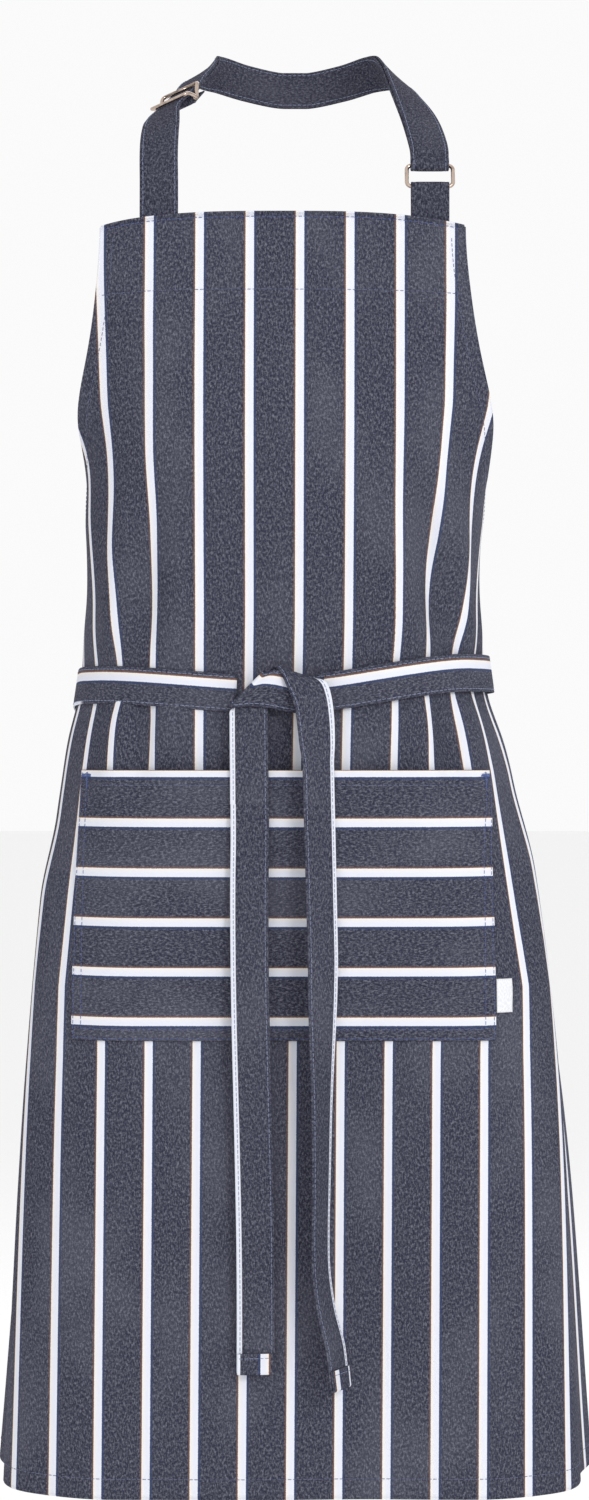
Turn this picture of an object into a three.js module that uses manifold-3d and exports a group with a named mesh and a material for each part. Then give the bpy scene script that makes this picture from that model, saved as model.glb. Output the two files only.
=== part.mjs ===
// A striped bib apron in the shape it takes when worn: the neck strap is on, the ties go round the
// waist and are knotted in front. Millimetres, +Z up, -Y to the front, +X to the right as seen from
// the front. The origin is where the neck strap rests on the nape.
import * as THREE from "three";
import { mergeVertices } from "three/addons/utils/BufferGeometryUtils.js";
import Module from "manifold-3d";

const wasm = await Module();
wasm.setup();

// ---- driving dimensions ----
const GAP = 0.35; // between layers that touch
const CLOTH = 1.2; // one layer of the panel's cloth
const TAPE = 2.0; // a neck strap or tie, folded and stitched
const TAPE_WIDTH = 25;
const THREAD = 0.5; // side of a row of stitches

const bib = { topZ: -117, halfWidth: 118, facing: 53, cornerDroop: 9 };
const armhole = { depth: 285 };
const skirt = { halfWidth: 350, length: 838 };
const hem = { side: 10, bottom: 15 };
const pocket = { halfWidth: 140, below: 361, height: 177, hem: 12, gape: 8, stitchInset: 7 };
const label = { width: 12, height: 22, aboveBottom: 18, thickness: 0.8 };
const CENTRE_X = -8; // the garment's middle line, a little to the wearer's right

// The body's outline at each height: half width, the front corner's radius, the radius of the side
// and back, the place of the flat front, and the middle.
const form = [
  { z: -955, halfWidth: 200, corner: 84, side: 450, front: -150, middle: 0 },
  { z: -666, halfWidth: 178, corner: 74, side: 300, front: -155, middle: 0 },
  { z: -478, halfWidth: 151, corner: 80, side: 190, front: -161, middle: -5 },
  { z: -430, halfWidth: 138, corner: 80, side: 160, front: -163, middle: -7.5 },
  { z: -371, halfWidth: 131, corner: 70, side: 160, front: -170, middle: -7.5 },
  { z: -319, halfWidth: 131, corner: 64, side: 160, front: -180, middle: -7 },
  { z: -266, halfWidth: 140, corner: 74, side: 160, front: -187, middle: -3.5 },
  { z: -214, halfWidth: 200, corner: 140, side: 160, front: -185, middle: -1 },
  { z: -150, halfWidth: 163, corner: 60, side: 160, front: -176, middle: 0 },
  { z: -110, halfWidth: 163, corner: 60, side: 160, front: -172, middle: 0 },
];

const strapX = 88; // the neck strap's and the tab's place on the bib
const strapSewn = 25; // how far each is sewn down behind the bib
const ring = { wire: 1.5, drop: 18, height: 14.4, lean: 5 };
const slider = { wire: 1.4, halfLength: 11, from: 19, sideRoom: 1, rail: 8 };
const endLoop = { layer: 1, tail: 18, travel: 12 };
const returnGap = 1; // left between the return run and the loop's tail at the end of its travel
const HINGE_TIP = 0.4; // thickness of a strap where it bends at a joint
const HINGE_GAP = 0.6;
const hemStitch = 2.5; // from a hem's edge to its row of stitches

const waist = { z: -415, backGap: 2, knotZ: -429, frontZ: -422, rightFrontZ: -414 };
const knot = { left: -38, right: 14, drop: 2.5 };
const knotTopZ = waist.knotZ + TAPE_WIDTH / 2;
const knotLowZ = waist.knotZ - TAPE_WIDTH / 2;
const tieSlack = 1.4; // under each tie, for the panel's flat facets
const tail = { bendZ: -640, tip: 5, taper: 6, endHem: 14, hemLayer: 0.8 };
// Each tail's top hangs just under the knot, so many tie layers in front of the panel.
const tails = [
  { side: "left", topX: -29.5, topZ: knotLowZ - 1.1, endX: -26, endZ: -872, layers: 3.2 },
  { side: "right", topX: 14, topZ: knotLowZ - 3.2, endX: 26, endZ: -880, layers: 4.2 },
];

const hemZ = bib.topZ - skirt.length;
const waistZ = bib.topZ - armhole.depth;
const pocketTopZ = bib.topZ - pocket.below;
const pocketEndZ = pocketTopZ - pocket.height;

// ---- the worn surface of the cloth ----
const formCurve = new THREE.CubicInterpolant(
  form.map((s) => s.z),
  form.flatMap((s) => [s.halfWidth, s.corner, s.side, s.front, s.middle]),
  5,
);

// A point at arc length along the outline at height z, moved outwards by offset.
function onForm(along, z, offset = 0) {
  const [halfWidth, corner, side, front, middle] = formCurve.evaluate(z);
  const flat = halfWidth - corner;
  const u = Math.abs(along - middle);
  const quarter = (corner * Math.PI) / 2;
  let x = u;
  let y = front;
  let heading = 0;
  if (u > flat + quarter) {
    heading = Math.PI / 2 + (u - flat - quarter) / side;
    x = halfWidth - side * (1 - Math.sin(heading));
    y = front + corner - side * Math.cos(heading);
  } else if (u > flat) {
    heading = (u - flat) / corner;
    x = flat + corner * Math.sin(heading);
    y = front + corner * (1 - Math.cos(heading));
  }
  const sign = Math.sign(along - middle) || 1;
  const normal = new THREE.Vector3(sign * Math.sin(heading), -Math.cos(heading), 0);
  return new THREE.Vector3(middle + sign * x, y, z).addScaledVector(normal, offset);
}

// The panel's half width: a quarter ellipse down the armhole, then straight.
function panelHalfWidth(z) {
  const t = Math.min((bib.topZ - z) / armhole.depth, 1);
  return bib.halfWidth + (skirt.halfWidth - bib.halfWidth) * (1 - Math.sqrt(1 - t * t));
}

// Lines that every layer of cloth shares, so that layers stay parallel: columns across, rows down.
function lines(from, to, count) {
  return Array.from({ length: count }, (_, i) => THREE.MathUtils.lerp(from, to, i / count));
}
const pocketShare = pocket.halfWidth / (skirt.halfWidth - hem.side);
const halfColumns = [...lines(0, pocketShare, 6), ...lines(pocketShare, 1, 7), 1];
const columns = [...halfColumns.slice(1).reverse().map((f) => -f), ...halfColumns];
const EDGE = columns.length; // the outer edge's column, past the last inner one
const armholeRows = [20, 30, 40, 50, 60, 70, 80, 90].map(
  (degrees) => bib.topZ - armhole.depth * Math.sin((degrees * Math.PI) / 180),
);
const rows = [
  bib.topZ,
  bib.topZ - bib.facing / 2,
  bib.topZ - bib.facing,
  ...armholeRows,
  ...lines(waistZ, pocketTopZ, 4).slice(1),
  pocketTopZ,
  pocketTopZ - pocket.hem,
  ...lines(pocketTopZ - pocket.hem, pocketEndZ, 4).slice(1),
  pocketEndZ,
  ...lines(pocketEndZ, hemZ + hem.bottom, 4).slice(1),
  hemZ + hem.bottom,
  hemZ,
];
const rowAt = (z) => rows.findIndex((r) => Math.abs(r - z) < 1e-6);
const columnAt = (share) => columns.findIndex((f) => Math.abs(f - share) < 1e-6);

// A point of the cloth on a column and row; column -1 and EDGE are the panel's own edges.
function gridPoint(column, row, offset) {
  const z = rows[row];
  const full = panelHalfWidth(z);
  let share = columns[column] * (1 - hem.side / full);
  if (column === -1) share = -1;
  if (column === EDGE) share = 1;
  const point = onForm(CENTRE_X + share * full, z, offset);
  const fade = Math.exp((z - bib.topZ) / bib.facing);
  point.z -= bib.cornerDroop * Math.abs(share) ** 3 * fade;
  return point;
}

// The same surface between the lines, straight from each line to the next.
function between(column, row, offset) {
  const c = Math.floor(column);
  const r = Math.min(Math.floor(row), rows.length - 2);
  const upper = gridPoint(c, r, offset).lerp(gridPoint(c + 1, r, offset), column - c);
  const lower = gridPoint(c, r + 1, offset).lerp(gridPoint(c + 1, r + 1, offset), column - c);
  return upper.lerp(lower, row - r);
}

// ---- solids ----
// A closed mesh through rings of points. The ring's second half runs back beside its first half,
// and both halves split their faces along the same diagonal, so that stacked layers never cross.
function loft(rings, closed = false) {
  const size = rings[0].length;
  const index = [];
  const spans = closed ? rings.length : rings.length - 1;
  for (let i = 0; i < spans; i++) {
    const a = i * size;
    const b = ((i + 1) % rings.length) * size;
    for (let j = 0; j < size; j++) {
      const k = (j + 1) % size;
      if (j < size / 2) index.push(a + j, b + j, b + k, a + j, b + k, a + k);
      else index.push(a + j, b + j, a + k, b + j, b + k, a + k);
    }
  }
  if (!closed) {
    const last = (rings.length - 1) * size;
    for (let j = 0; j < size / 2 - 1; j++) {
      const [p, q, r, s] = [j, j + 1, size - 2 - j, size - 1 - j];
      index.push(p, q, r, p, r, s);
      index.push(last + p, last + r, last + q, last + p, last + s, last + r);
    }
  }
  const geometry = new THREE.BufferGeometry();
  geometry.setFromPoints(rings.flat());
  geometry.setIndex(index);
  return faceOutwards(geometry);
}

function faceOutwards(geometry) {
  const place = geometry.getAttribute("position");
  const index = geometry.getIndex().array;
  const [a, b, c] = [new THREE.Vector3(), new THREE.Vector3(), new THREE.Vector3()];
  let volume = 0;
  for (let i = 0; i < index.length; i += 3) {
    a.fromBufferAttribute(place, index[i]);
    b.fromBufferAttribute(place, index[i + 1]);
    c.fromBufferAttribute(place, index[i + 2]);
    volume += a.dot(b.cross(c));
  }
  if (volume < 0) {
    for (let i = 0; i < index.length; i += 3) {
      [index[i + 1], index[i + 2]] = [index[i + 2], index[i + 1]];
    }
  }
  geometry.computeVertexNormals();
  return geometry;
}

// Joins closed meshes into one.
function join(geometries) {
  const solids = geometries.map((geometry) => {
    const bare = new THREE.BufferGeometry();
    bare.setAttribute("position", geometry.getAttribute("position"));
    bare.setIndex(geometry.getIndex());
    const merged = mergeVertices(bare, 1e-4);
    return new wasm.Manifold(
      new wasm.Mesh({
        numProp: 3,
        vertProperties: new Float32Array(merged.getAttribute("position").array),
        triVerts: new Uint32Array(merged.getIndex().array),
      }),
    );
  });
  const mesh = solids.reduce((sum, solid) => sum.add(solid)).getMesh();
  const geometry = new THREE.BufferGeometry();
  geometry.setAttribute("position", new THREE.BufferAttribute(mesh.vertProperties, 3));
  geometry.setIndex(new THREE.BufferAttribute(mesh.triVerts, 1));
  geometry.computeVertexNormals();
  return geometry;
}

// A layer of cloth over part of the grid; its inner face lies at lift(column, row).
function layer(columnRange, rowRange, lift, thickness = CLOTH) {
  const rings = [];
  for (let row = rowRange[0]; row <= rowRange[1]; row++) {
    const outer = [];
    const inner = [];
    for (let column = columnRange[0]; column <= columnRange[1]; column++) {
      const base = lift(column, row);
      outer.push(gridPoint(column, row, base + thickness));
      inner.unshift(gridPoint(column, row, base));
    }
    rings.push([...outer, ...inner]);
  }
  return loft(rings);
}

// A flat strip along stations of centre, width direction and outward normal.
function strip(stations) {
  return loft(
    stations.map(({ at, across, out, width = TAPE_WIDTH, thick = TAPE }) =>
      [
        [-1, 1],
        [1, 1],
        [1, -1],
        [-1, -1],
      ].map(([side, face]) =>
        at
          .clone()
          .addScaledVector(across, (side * width) / 2)
          .addScaledVector(out, (face * thick) / 2),
      ),
    ),
  );
}

// A round bar or a bent wire through points; sideways is a direction never along it.
function wire(points, radius, sideways, closed = false, sides = 8) {
  const count = points.length;
  const rings = points.map((point, i) => {
    const before = points[closed ? (i - 1 + count) % count : Math.max(i - 1, 0)];
    const after = points[closed ? (i + 1) % count : Math.min(i + 1, count - 1)];
    const along = after.clone().sub(before).normalize();
    const side = sideways.clone().cross(along).normalize();
    const up = along.clone().cross(side);
    return Array.from({ length: sides }, (_, k) => {
      const angle = ((k + 0.5) * 2 * Math.PI) / sides;
      return point
        .clone()
        .addScaledVector(side, radius * Math.cos(angle))
        .addScaledVector(up, radius * Math.sin(angle));
    });
  });
  return loft(rings, closed);
}

// ---- colours ----
const finish = (color, roughness, metalness = 0) =>
  new THREE.MeshStandardMaterial({ color, roughness, metalness, side: THREE.DoubleSide });
const denim = finish(0x343a4c, 0.9);
const tape = finish(0x30364a, 0.9);
const steel = finish(0xb9a99a, 0.3, 1);
const thread = finish(0x2c3350, 0.8);
const satin = finish(0xe4e4e6, 0.6);

const apron = new THREE.Group();
function add(name, geometry, material) {
  const mesh = new THREE.Mesh(geometry, material);
  mesh.name = name;
  apron.add(mesh);
}

const LAST_ROW = rows.length - 1;
const INNER = [0, columns.length - 1];
const bottomHemRow = rowAt(hemZ + hem.bottom);
const facingRow = rowAt(bib.topZ - bib.facing);
const waistRow = rowAt(waistZ);
const inside = () => -GAP - CLOTH;

// ---- panel, facing and hems ----
function addPanel() {
  add("apron_panel", layer([-1, EDGE], [0, LAST_ROW], () => 0), denim);
  add("bib_top_facing", layer(INNER, [0, facingRow], inside), denim);
  add("bottom_hem", layer(INNER, [bottomHemRow, LAST_ROW], inside), denim);
  const sides = { left: [-1, 0], right: [columns.length - 1, EDGE] };
  for (const [side, range] of Object.entries(sides)) {
    add(`${side}_armhole_hem`, hemStrip(range, 0, waistRow), denim);
    add(`${side}_side_hem`, hemStrip(range, waistRow, LAST_ROW), denim);
  }
}

// A turned edge from one row to another, held a gap in from its ends and from the inner layers.
function hemStrip([inner, outer], firstRow, lastRow) {
  const slack = 2 * GAP;
  const rings = [];
  for (let row = firstRow; row <= lastRow; row++) {
    const ring = [inside() + CLOTH - GAP / 2, inside() - GAP / 2].map((offset) => {
      const pair = [gridPoint(inner, row, offset), gridPoint(outer, row, offset)];
      const width = pair[0].distanceTo(pair[1]);
      if (inner === -1) pair[1].lerp(pair[0], slack / width);
      else pair[0].lerp(pair[1], slack / width);
      return pair;
    });
    const points = [...ring[0], ...ring[1].reverse()];
    if (row === firstRow && firstRow > 0) points.forEach((p) => (p.z -= slack));
    rings.push(points);
  }
  return loft(rings);
}

// ---- pocket ----
const pocketColumns = [columnAt(-pocketShare), columnAt(pocketShare)];
const pocketRows = [rowAt(pocketTopZ), rowAt(pocketEndZ)];
const pocketMiddle = (columns.length - 1) / 2;

// The pocket lies flat along its sides and bottom, and gapes at the mouth.
function pocketLift(column, row) {
  const across = (column - pocketMiddle) / (pocketColumns[1] - pocketMiddle);
  const down = (rows[row] - pocketEndZ) / pocket.height;
  return CLOTH + GAP + pocket.gape * (1 - across ** 2) * Math.sin((down * Math.PI) / 2);
}

function addPocket() {
  add("pocket", layer(pocketColumns, pocketRows, pocketLift), denim);
  const hemLayer = 0.9;
  const hemColumns = [pocketColumns[0] + 1, pocketColumns[1] - 1];
  const hemRows = [pocketRows[0], rowAt(pocketTopZ - pocket.hem)];
  const behind = (column, row) => pocketLift(column, row) - GAP - hemLayer;
  add("pocket_top_hem", layer(hemColumns, hemRows, behind, hemLayer), denim);

  // The label is a folded flag that stands out of the pocket's right seam.
  const cell = gridPoint(pocketColumns[1], pocketRows[1], 0).distanceTo(
    gridPoint(pocketColumns[1] + 1, pocketRows[1], 0),
  );
  const rowSpan = rows[pocketRows[1] - 1] - rows[pocketRows[1]];
  const lowRow = pocketRows[1] - label.aboveBottom / rowSpan;
  const highRow = lowRow - label.height / rowSpan;
  const seam = pocketColumns[1] + 2 * GAP * (1 / cell);
  const free = seam + label.width / cell;
  const low = CLOTH + 2 * GAP;
  const high = low + label.thickness;
  const rings = [highRow, lowRow].map((row) => [
    between(seam, row, high),
    between(free, row, high),
    between(free, row, low),
    between(seam, row, low),
  ]);
  add("pocket_label", loft(rings), satin);
}

// ---- rows of stitches, each one thread that lies on the cloth ----
function stitchRow(name, places) {
  const half = THREAD / 2;
  const rings = places.map(({ column, row, lift, turn }) => {
    const low = lift + GAP;
    const [dc, dr] = turn;
    return [
      between(column - dc * half, row - dr * half, low + THREAD),
      between(column + dc * half, row + dr * half, low + THREAD),
      between(column + dc * half, row + dr * half, low),
      between(column - dc * half, row - dr * half, low),
    ];
  });
  add(name, loft(rings), thread);
}

function addStitching() {
  const rowWidth = (row) => 1 / (rows[row] - rows[row + 1]);
  // A row of stitches across the cloth, inset millimetres below the row line given.
  const acrossRow = (name, range, row, inset, lift) => {
    const places = [];
    for (let column = range[0]; column <= range[1]; column++) {
      const shift = row + inset * rowWidth(row);
      places.push({ column, row: shift, lift: lift(column, row), turn: [0, rowWidth(row)] });
    }
    stitchRow(name, places);
  };
  const aboveLine = (row) => rows[row] - rows[row + 1] - hemStitch;
  acrossRow("bib_top_stitching", INNER, 0, hemStitch, () => CLOTH);
  acrossRow("bib_facing_stitching", INNER, facingRow - 1, aboveLine(facingRow - 1), () => CLOTH);
  acrossRow("bottom_hem_stitching", INNER, bottomHemRow, hemStitch, () => CLOTH);
  const mouth = [pocketColumns[0] + 1, pocketColumns[1] - 1];
  const mouthRow = rowAt(pocketTopZ);
  acrossRow("pocket_mouth_stitching", mouth, mouthRow, aboveLine(mouthRow), (column) => {
    return Math.max(pocketLift(column, mouthRow), pocketLift(column, mouthRow + 1)) + CLOTH;
  });

  // The pocket is sewn down by two rows, one at its edge and one inside it.
  for (const [name, inset] of [
    ["pocket_edge_stitching", 1.5],
    ["pocket_inner_stitching", pocket.stitchInset],
  ]) {
    const [left, right] = pocketColumns;
    const cell = pocket.halfWidth / (right - pocketMiddle);
    const side = inset / cell;
    const drop = inset * rowWidth(pocketRows[1] - 1);
    const lift = (column, row) => {
      const c = [Math.floor(column), Math.ceil(column)];
      const r = [Math.floor(row), Math.ceil(row)];
      return Math.max(...c.flatMap((i) => r.map((j) => pocketLift(i, j)))) + CLOTH;
    };
    const [first, bottom] = pocketRows;
    const places = [];
    for (let row = first; row < bottom; row++) {
      const column = left + side;
      places.push({ column, row, lift: lift(column, row), turn: [1 / cell, 0] });
    }
    const base = bottom - drop;
    const slant = -rowWidth(bottom - 1);
    const lowPlace = (column, across) => {
      places.push({ column, row: base, lift: lift(column, base), turn: [across, slant] });
    };
    lowPlace(left + side, 1 / cell);
    for (let column = left + 1; column < right; column++) {
      lowPlace(column, 0);
    }
    lowPlace(right - side, -1 / cell);
    for (let row = bottom - 1; row >= first; row--) {
      const column = right - side;
      places.push({ column, row, lift: lift(column, row), turn: [-1 / cell, 0] });
    }
    stitchRow(name, places);
  }
}

// ---- neck strap, its slider and its ring ----
const X = new THREE.Vector3(1, 0, 0);
const Y = new THREE.Vector3(0, 1, 0);
const Z = new THREE.Vector3(0, 0, 1);
const vec = (x, y, z) => new THREE.Vector3(x, y, z);

const bibFront = onForm(strapX, bib.topZ, 0).y;
const sewnY = bibFront + CLOTH + 2 * GAP; // the face that lies against the facing
const pivot = { y: sewnY + ring.wire + GAP + CLOTH, z: bib.topZ + ring.drop };
const upperBar = { y: pivot.y + ring.lean, z: pivot.z + ring.height };

// The strap's run: centres of its outer layer, with the direction of its width at each.
const sliderRun = { from: vec(-86, -114, -38), to: vec(-64, -66, -6) };
const sliderWidth = vec(0.84, 0.1, 0.52);
const nape = { y: TAPE * 1.5 + GAP, z: 0 };
const napeFlat = 9; // half the stretch that lies flat on the nape
const strapRun = [
  { at: vec(-88.5, -159, -74), across: vec(1, 0, 0) },
  { at: vec(-88, -140, -54), across: vec(0.97, 0, 0.2) },
  { at: sliderRun.from, across: sliderWidth },
  { at: sliderRun.to, across: sliderWidth },
  { at: vec(-54, -30, 4), across: vec(0.35, -0.1, 0.93) },
  { at: vec(-33, -6, 3), across: vec(0.1, 0, 1) },
  { at: vec(-napeFlat, nape.y, nape.z), across: Z },
  { at: vec(napeFlat, nape.y, nape.z), across: Z },
  { at: vec(33, -6, 3), across: vec(-0.1, 0, 1) },
  { at: vec(54, -30, 4), across: vec(-0.35, -0.1, 0.93) },
  { at: vec(66, -66, -6), across: vec(-0.7, 0, 0.7) },
  { at: vec(74, -98, -25), across: vec(-0.85, 0, 0.52) },
  { at: vec(83, -132, -51), across: vec(-0.97, 0, 0.2) },
  { at: vec(87.5, -153, -71), across: vec(-1, 0, 0) },
];

// Stations every few millimetres along the run, as a smooth curve with its width turning smoothly.
function strapStations() {
  const foldTop = vec(strapX, upperBar.y - strapFold, upperBar.z + ring.wire * 2);
  const start = { at: vec(-strapX, pivot.y, pivot.z + HINGE_GAP / 2), across: X };
  const end = { at: foldTop, across: vec(-1, 0, 0) };
  const run = [start, ...strapRun, end];
  const centres = new THREE.CatmullRomCurve3(run.map((s) => s.at), false, "centripetal");
  const widths = new THREE.CatmullRomCurve3(run.map((s) => s.across), false, "centripetal");
  const straightRuns = [
    run.findIndex((s) => s.at === sliderRun.from),
    run.findIndex((s) => s.at.x === -napeFlat),
  ];
  const stations = [];
  const steps = 5;
  for (let i = 0; i < run.length - 1; i++) {
    for (let k = 0; k < steps; k++) {
      const t = (i + k / steps) / (run.length - 1);
      const at = centres.getPoint(t);
      // The stretch that the slider runs on and the one on the nape are straight.
      const straight = straightRuns.includes(i);
      if (straight) at.lerpVectors(run[i].at, run[i + 1].at, k / steps);
      stations.push({ at, width: straight ? run[i].across.clone() : widths.getPoint(t) });
    }
  }
  stations.push({ at: end.at.clone(), width: end.across.clone() });
  return stations.map(({ at, width }, i) => {
    const ahead = stations[Math.min(i + 1, stations.length - 1)].at;
    const behind = stations[Math.max(i - 1, 0)].at;
    const along = ahead.clone().sub(behind).normalize();
    const out = width.clone().cross(along).normalize();
    return { at, along, out, across: along.clone().cross(out) };
  });
}

const strapFold = ring.wire + GAP + TAPE / 2; // from the bar's axis to the strap's middle

// The fold at the ring: round the bar from the front layer to the back one.
function foldStations(bar, radius, across) {
  return Array.from({ length: 9 }, (_, k) => {
    const angle = (k * Math.PI) / 8;
    const out = vec(0, -Math.cos(angle), -Math.sin(angle));
    return {
      at: vec(strapX, bar.y, bar.z).addScaledVector(out, radius),
      across,
      out,
    };
  });
}

const slideAlong = sliderRun.to.clone().sub(sliderRun.from).normalize();

function addNeckStrap() {
  const outer = strapStations();
  const returnEnd = slider.from + endLoop.tail + endLoop.travel + returnGap;
  const sunk = TAPE + GAP;
  const stop = sliderRun.from.clone().addScaledVector(slideAlong, returnEnd);
  const back = outer
    .map(({ at, out, across }) => ({
      at: at.clone().addScaledVector(out, -sunk),
      out: out.clone().negate(),
      across,
    }))
    .filter(({ at }) => at.x > stop.x + TAPE);
  const nearRing = outer.length - 1;
  outer[nearRing] = { ...outer[nearRing], across: vec(-1, 0, 0), out: vec(0, -1, 0) };
  const fold = foldStations(upperBar, strapFold, vec(-1, 0, 0));
  const returning = back.reverse().filter(({ at }) => at.z > upperBar.z + ring.wire * 3 || at.x < 0);
  const slideFrame = sliderFrame(returnEnd);
  returning.push({
    at: slideFrame.at.clone().addScaledVector(slideFrame.out, -sunk),
    out: slideFrame.out.clone().negate(),
    across: slideFrame.across,
  });
  outer[0].thick = HINGE_TIP;
  const tipped = [outer[0], hingeShoulder(outer), ...outer.slice(1)];
  add("neck_strap", strip([...tipped, ...fold, ...returning]), tape);

  // Where the strap is sewn to the bib it bends at the same height as the ring's lower bar.
  const seam = sewnY + TAPE / 2;
  add(
    "strap_sewn_end",
    strip([
      { at: vec(-strapX, seam, bib.topZ - strapSewn), across: X, out: Y },
      { at: vec(-strapX, seam, bib.topZ), across: X, out: Y },
      { at: vec(-strapX, pivot.y, pivot.z - 3), across: X, out: Y },
      { at: vec(-strapX, pivot.y, pivot.z - HINGE_GAP / 2), across: X, out: Y, thick: HINGE_TIP },
    ]),
    tape,
  );
}

// The strap is at its full thickness a little past the bend.
function hingeShoulder(stations) {
  const [first, second] = stations;
  const share = 3 / first.at.distanceTo(second.at);
  return { ...first, at: first.at.clone().lerp(second.at, share), thick: TAPE };
}

// The strap's frame on the slider's straight run, some way from its start.
function sliderFrame(distance) {
  const at = sliderRun.from.clone().addScaledVector(slideAlong, distance);
  const out = sliderWidth.clone().cross(slideAlong).normalize();
  return { at, out, across: slideAlong.clone().cross(out) };
}

function addSlider() {
  const { at, out, across } = sliderFrame(slider.from);
  const high = TAPE / 2 + GAP + slider.wire;
  const low = -(TAPE / 2 + 2 * GAP + endLoop.layer + slider.wire);
  const side = TAPE_WIDTH / 2 + slider.sideRoom + slider.wire;
  const place = (along, aside, height) =>
    at
      .clone()
      .addScaledVector(slideAlong, along)
      .addScaledVector(across, aside)
      .addScaledVector(out, height);
  // Each side rail dips from the end bars to the middle bar.
  const rail = (aside, direction) =>
    Array.from({ length: slider.rail + 1 }, (_, k) => {
      const share = direction * (-1 + (2 * k) / slider.rail);
      const height = low + (high - low) * Math.sin((Math.abs(share) * Math.PI) / 2);
      const bow = aside * (1 - 0.04 * share ** 8);
      return place(share * slider.halfLength, bow, height);
    });
  const loop = [...rail(side, 1), ...rail(-side, -1)];
  const bar = [place(0, -side, low), place(0, side, low)];
  add(
    "strap_slider",
    join([
      wire(loop, slider.wire, out, true),
      wire(bar, slider.wire, out),
    ]),
    steel,
  );

  // The strap's end is sewn round the middle bar, and its tail lies under the strap.
  const radius = slider.wire + GAP + endLoop.layer / 2;
  const centre = place(0, 0, low);
  const turn = (angle) => {
    const normal = out
      .clone()
      .multiplyScalar(Math.cos(angle))
      .addScaledVector(slideAlong, -Math.sin(angle));
    return {
      at: centre.clone().addScaledVector(normal, radius),
      across,
      out: normal,
      thick: endLoop.layer,
      width: TAPE_WIDTH - 1,
    };
  };
  const round = Array.from({ length: 9 }, (_, k) => turn((k * Math.PI) / 8));
  const upperTail = { ...round[0], at: round[0].at.clone().addScaledVector(slideAlong, endLoop.tail) };
  const lowerTail = {
    ...round[8],
    at: upperTail.at.clone().addScaledVector(out, -endLoop.layer - GAP),
  };
  const meet = { ...lowerTail, at: lowerTail.at.clone().addScaledVector(slideAlong, 6 - endLoop.tail) };
  add("strap_end_loop", strip([upperTail, ...round, meet, lowerTail]), tape);
}

function addRing() {
  const half = TAPE_WIDTH / 2 + 1 + ring.wire;
  const corner = 2.5;
  const lower = vec(strapX, pivot.y, pivot.z);
  const up = vec(0, upperBar.y - pivot.y, upperBar.z - pivot.z);
  const height = up.length();
  up.normalize();
  const out = up.clone().cross(X);
  const points = [];
  for (const [sx, sz] of [
    [1, 1],
    [-1, 1],
    [-1, -1],
    [1, -1],
  ]) {
    const turns = [0, 1, 2, 3];
    if (sx * sz < 0) turns.reverse();
    for (const k of turns) {
      const angle = (k * Math.PI) / 6;
      const x = sx * (half - corner + corner * Math.cos(angle));
      const z = height / 2 + sz * (height / 2 - corner + corner * Math.sin(angle));
      points.push(lower.clone().addScaledVector(X, x).addScaledVector(up, z));
    }
  }
  add("strap_ring", wire(points, ring.wire, out, true), steel);

  // The tab goes up in front, over the lower bar and down behind, and is sewn inside the bib.
  const radius = ring.wire + GAP + CLOTH / 2;
  const front = pivot.y - radius;
  const over = foldStations(pivot, radius, X).reverse();
  over.forEach((s) => (s.at.z = 2 * pivot.z - s.at.z));
  over.forEach((s) => (s.out.z *= -1));
  const layerBack = front + CLOTH + GAP;
  add(
    "ring_tab",
    strip(
      [
        { at: vec(strapX, layerBack, bib.topZ - strapSewn), across: X, out: Y },
        { at: vec(strapX, layerBack, bib.topZ - 2), across: X, out: Y },
        ...over,
        { at: vec(strapX, front, bib.topZ - strapSewn), across: X, out: vec(0, -1, 0) },
      ].map((station) => ({ ...station, thick: CLOTH })),
    ),
    tape,
  );
}

// ---- waist ties: sewn to the panel's back edges, round the back, over the front to the knot ----
const backMiddle = (() => {
  const [halfWidth, corner, side] = formCurve.evaluate(waist.z);
  const flat = halfWidth - corner;
  const turn = Math.asin(1 - halfWidth / side);
  return flat + (corner * Math.PI) / 2 + side * (Math.PI / 2 - turn);
})();
const middleAt = (z) => formCurve.evaluate(z)[4];
const tieStart = skirt.halfWidth - 30;
const tieSewn = 30; // the length over which a tie leaves the panel it is sewn to

// A tie that starts on one side and comes to the front on the other; travel is measured along it.
// It is sewn down where it starts, and rises to base, and then to lift, above the panel's inner face.
function tieStations(startSide, frontZ, endX, dip, base, lift) {
  const waistMiddle = middleAt(waist.z);
  const start = tieStart + startSide * (CENTRE_X - waistMiddle);
  const toMiddle = backMiddle - start;
  const length = toMiddle + backMiddle + startSide * (endX - waistMiddle);
  const count = 44;
  return Array.from({ length: count + 1 }, (_, i) => {
    const travel = (length * i) / count;
    const beyond = travel > toMiddle;
    const u = beyond ? backMiddle - (travel - toMiddle) : start + travel;
    const backShare = THREE.MathUtils.smoothstep(travel, 0, toMiddle);
    const sideShare = THREE.MathUtils.smoothstep(u, 150, 300);
    const frontShare = THREE.MathUtils.smoothstep(u, 0, 130);
    let z = waist.z - dip * backShare;
    if (beyond) {
      const front = THREE.MathUtils.lerp(waist.knotZ, frontZ, frontShare);
      z = THREE.MathUtils.lerp(front, waist.z - dip, sideShare);
    }
    const along = middleAt(z) + (beyond ? -startSide : startSide) * u;
    const sewnShare = 1 - THREE.MathUtils.smoothstep(travel, 0, tieSewn);
    const rise = THREE.MathUtils.lerp(base, lift, backShare);
    const offset = THREE.MathUtils.lerp(rise, CLOTH + GAP, sewnShare) + TAPE / 2;
    const at = onForm(along, z, offset);
    const out = onForm(along, z, offset + 1).sub(at);
    const path = out.clone().cross(Z);
    const half = TAPE_WIDTH / 2;
    const slope = onForm(along, z + half, offset).sub(onForm(along, z - half, offset));
    const across = slope.addScaledVector(path, -slope.dot(path)).normalize();
    return { at, across, out: path.cross(across).negate() };
  });
}

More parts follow.
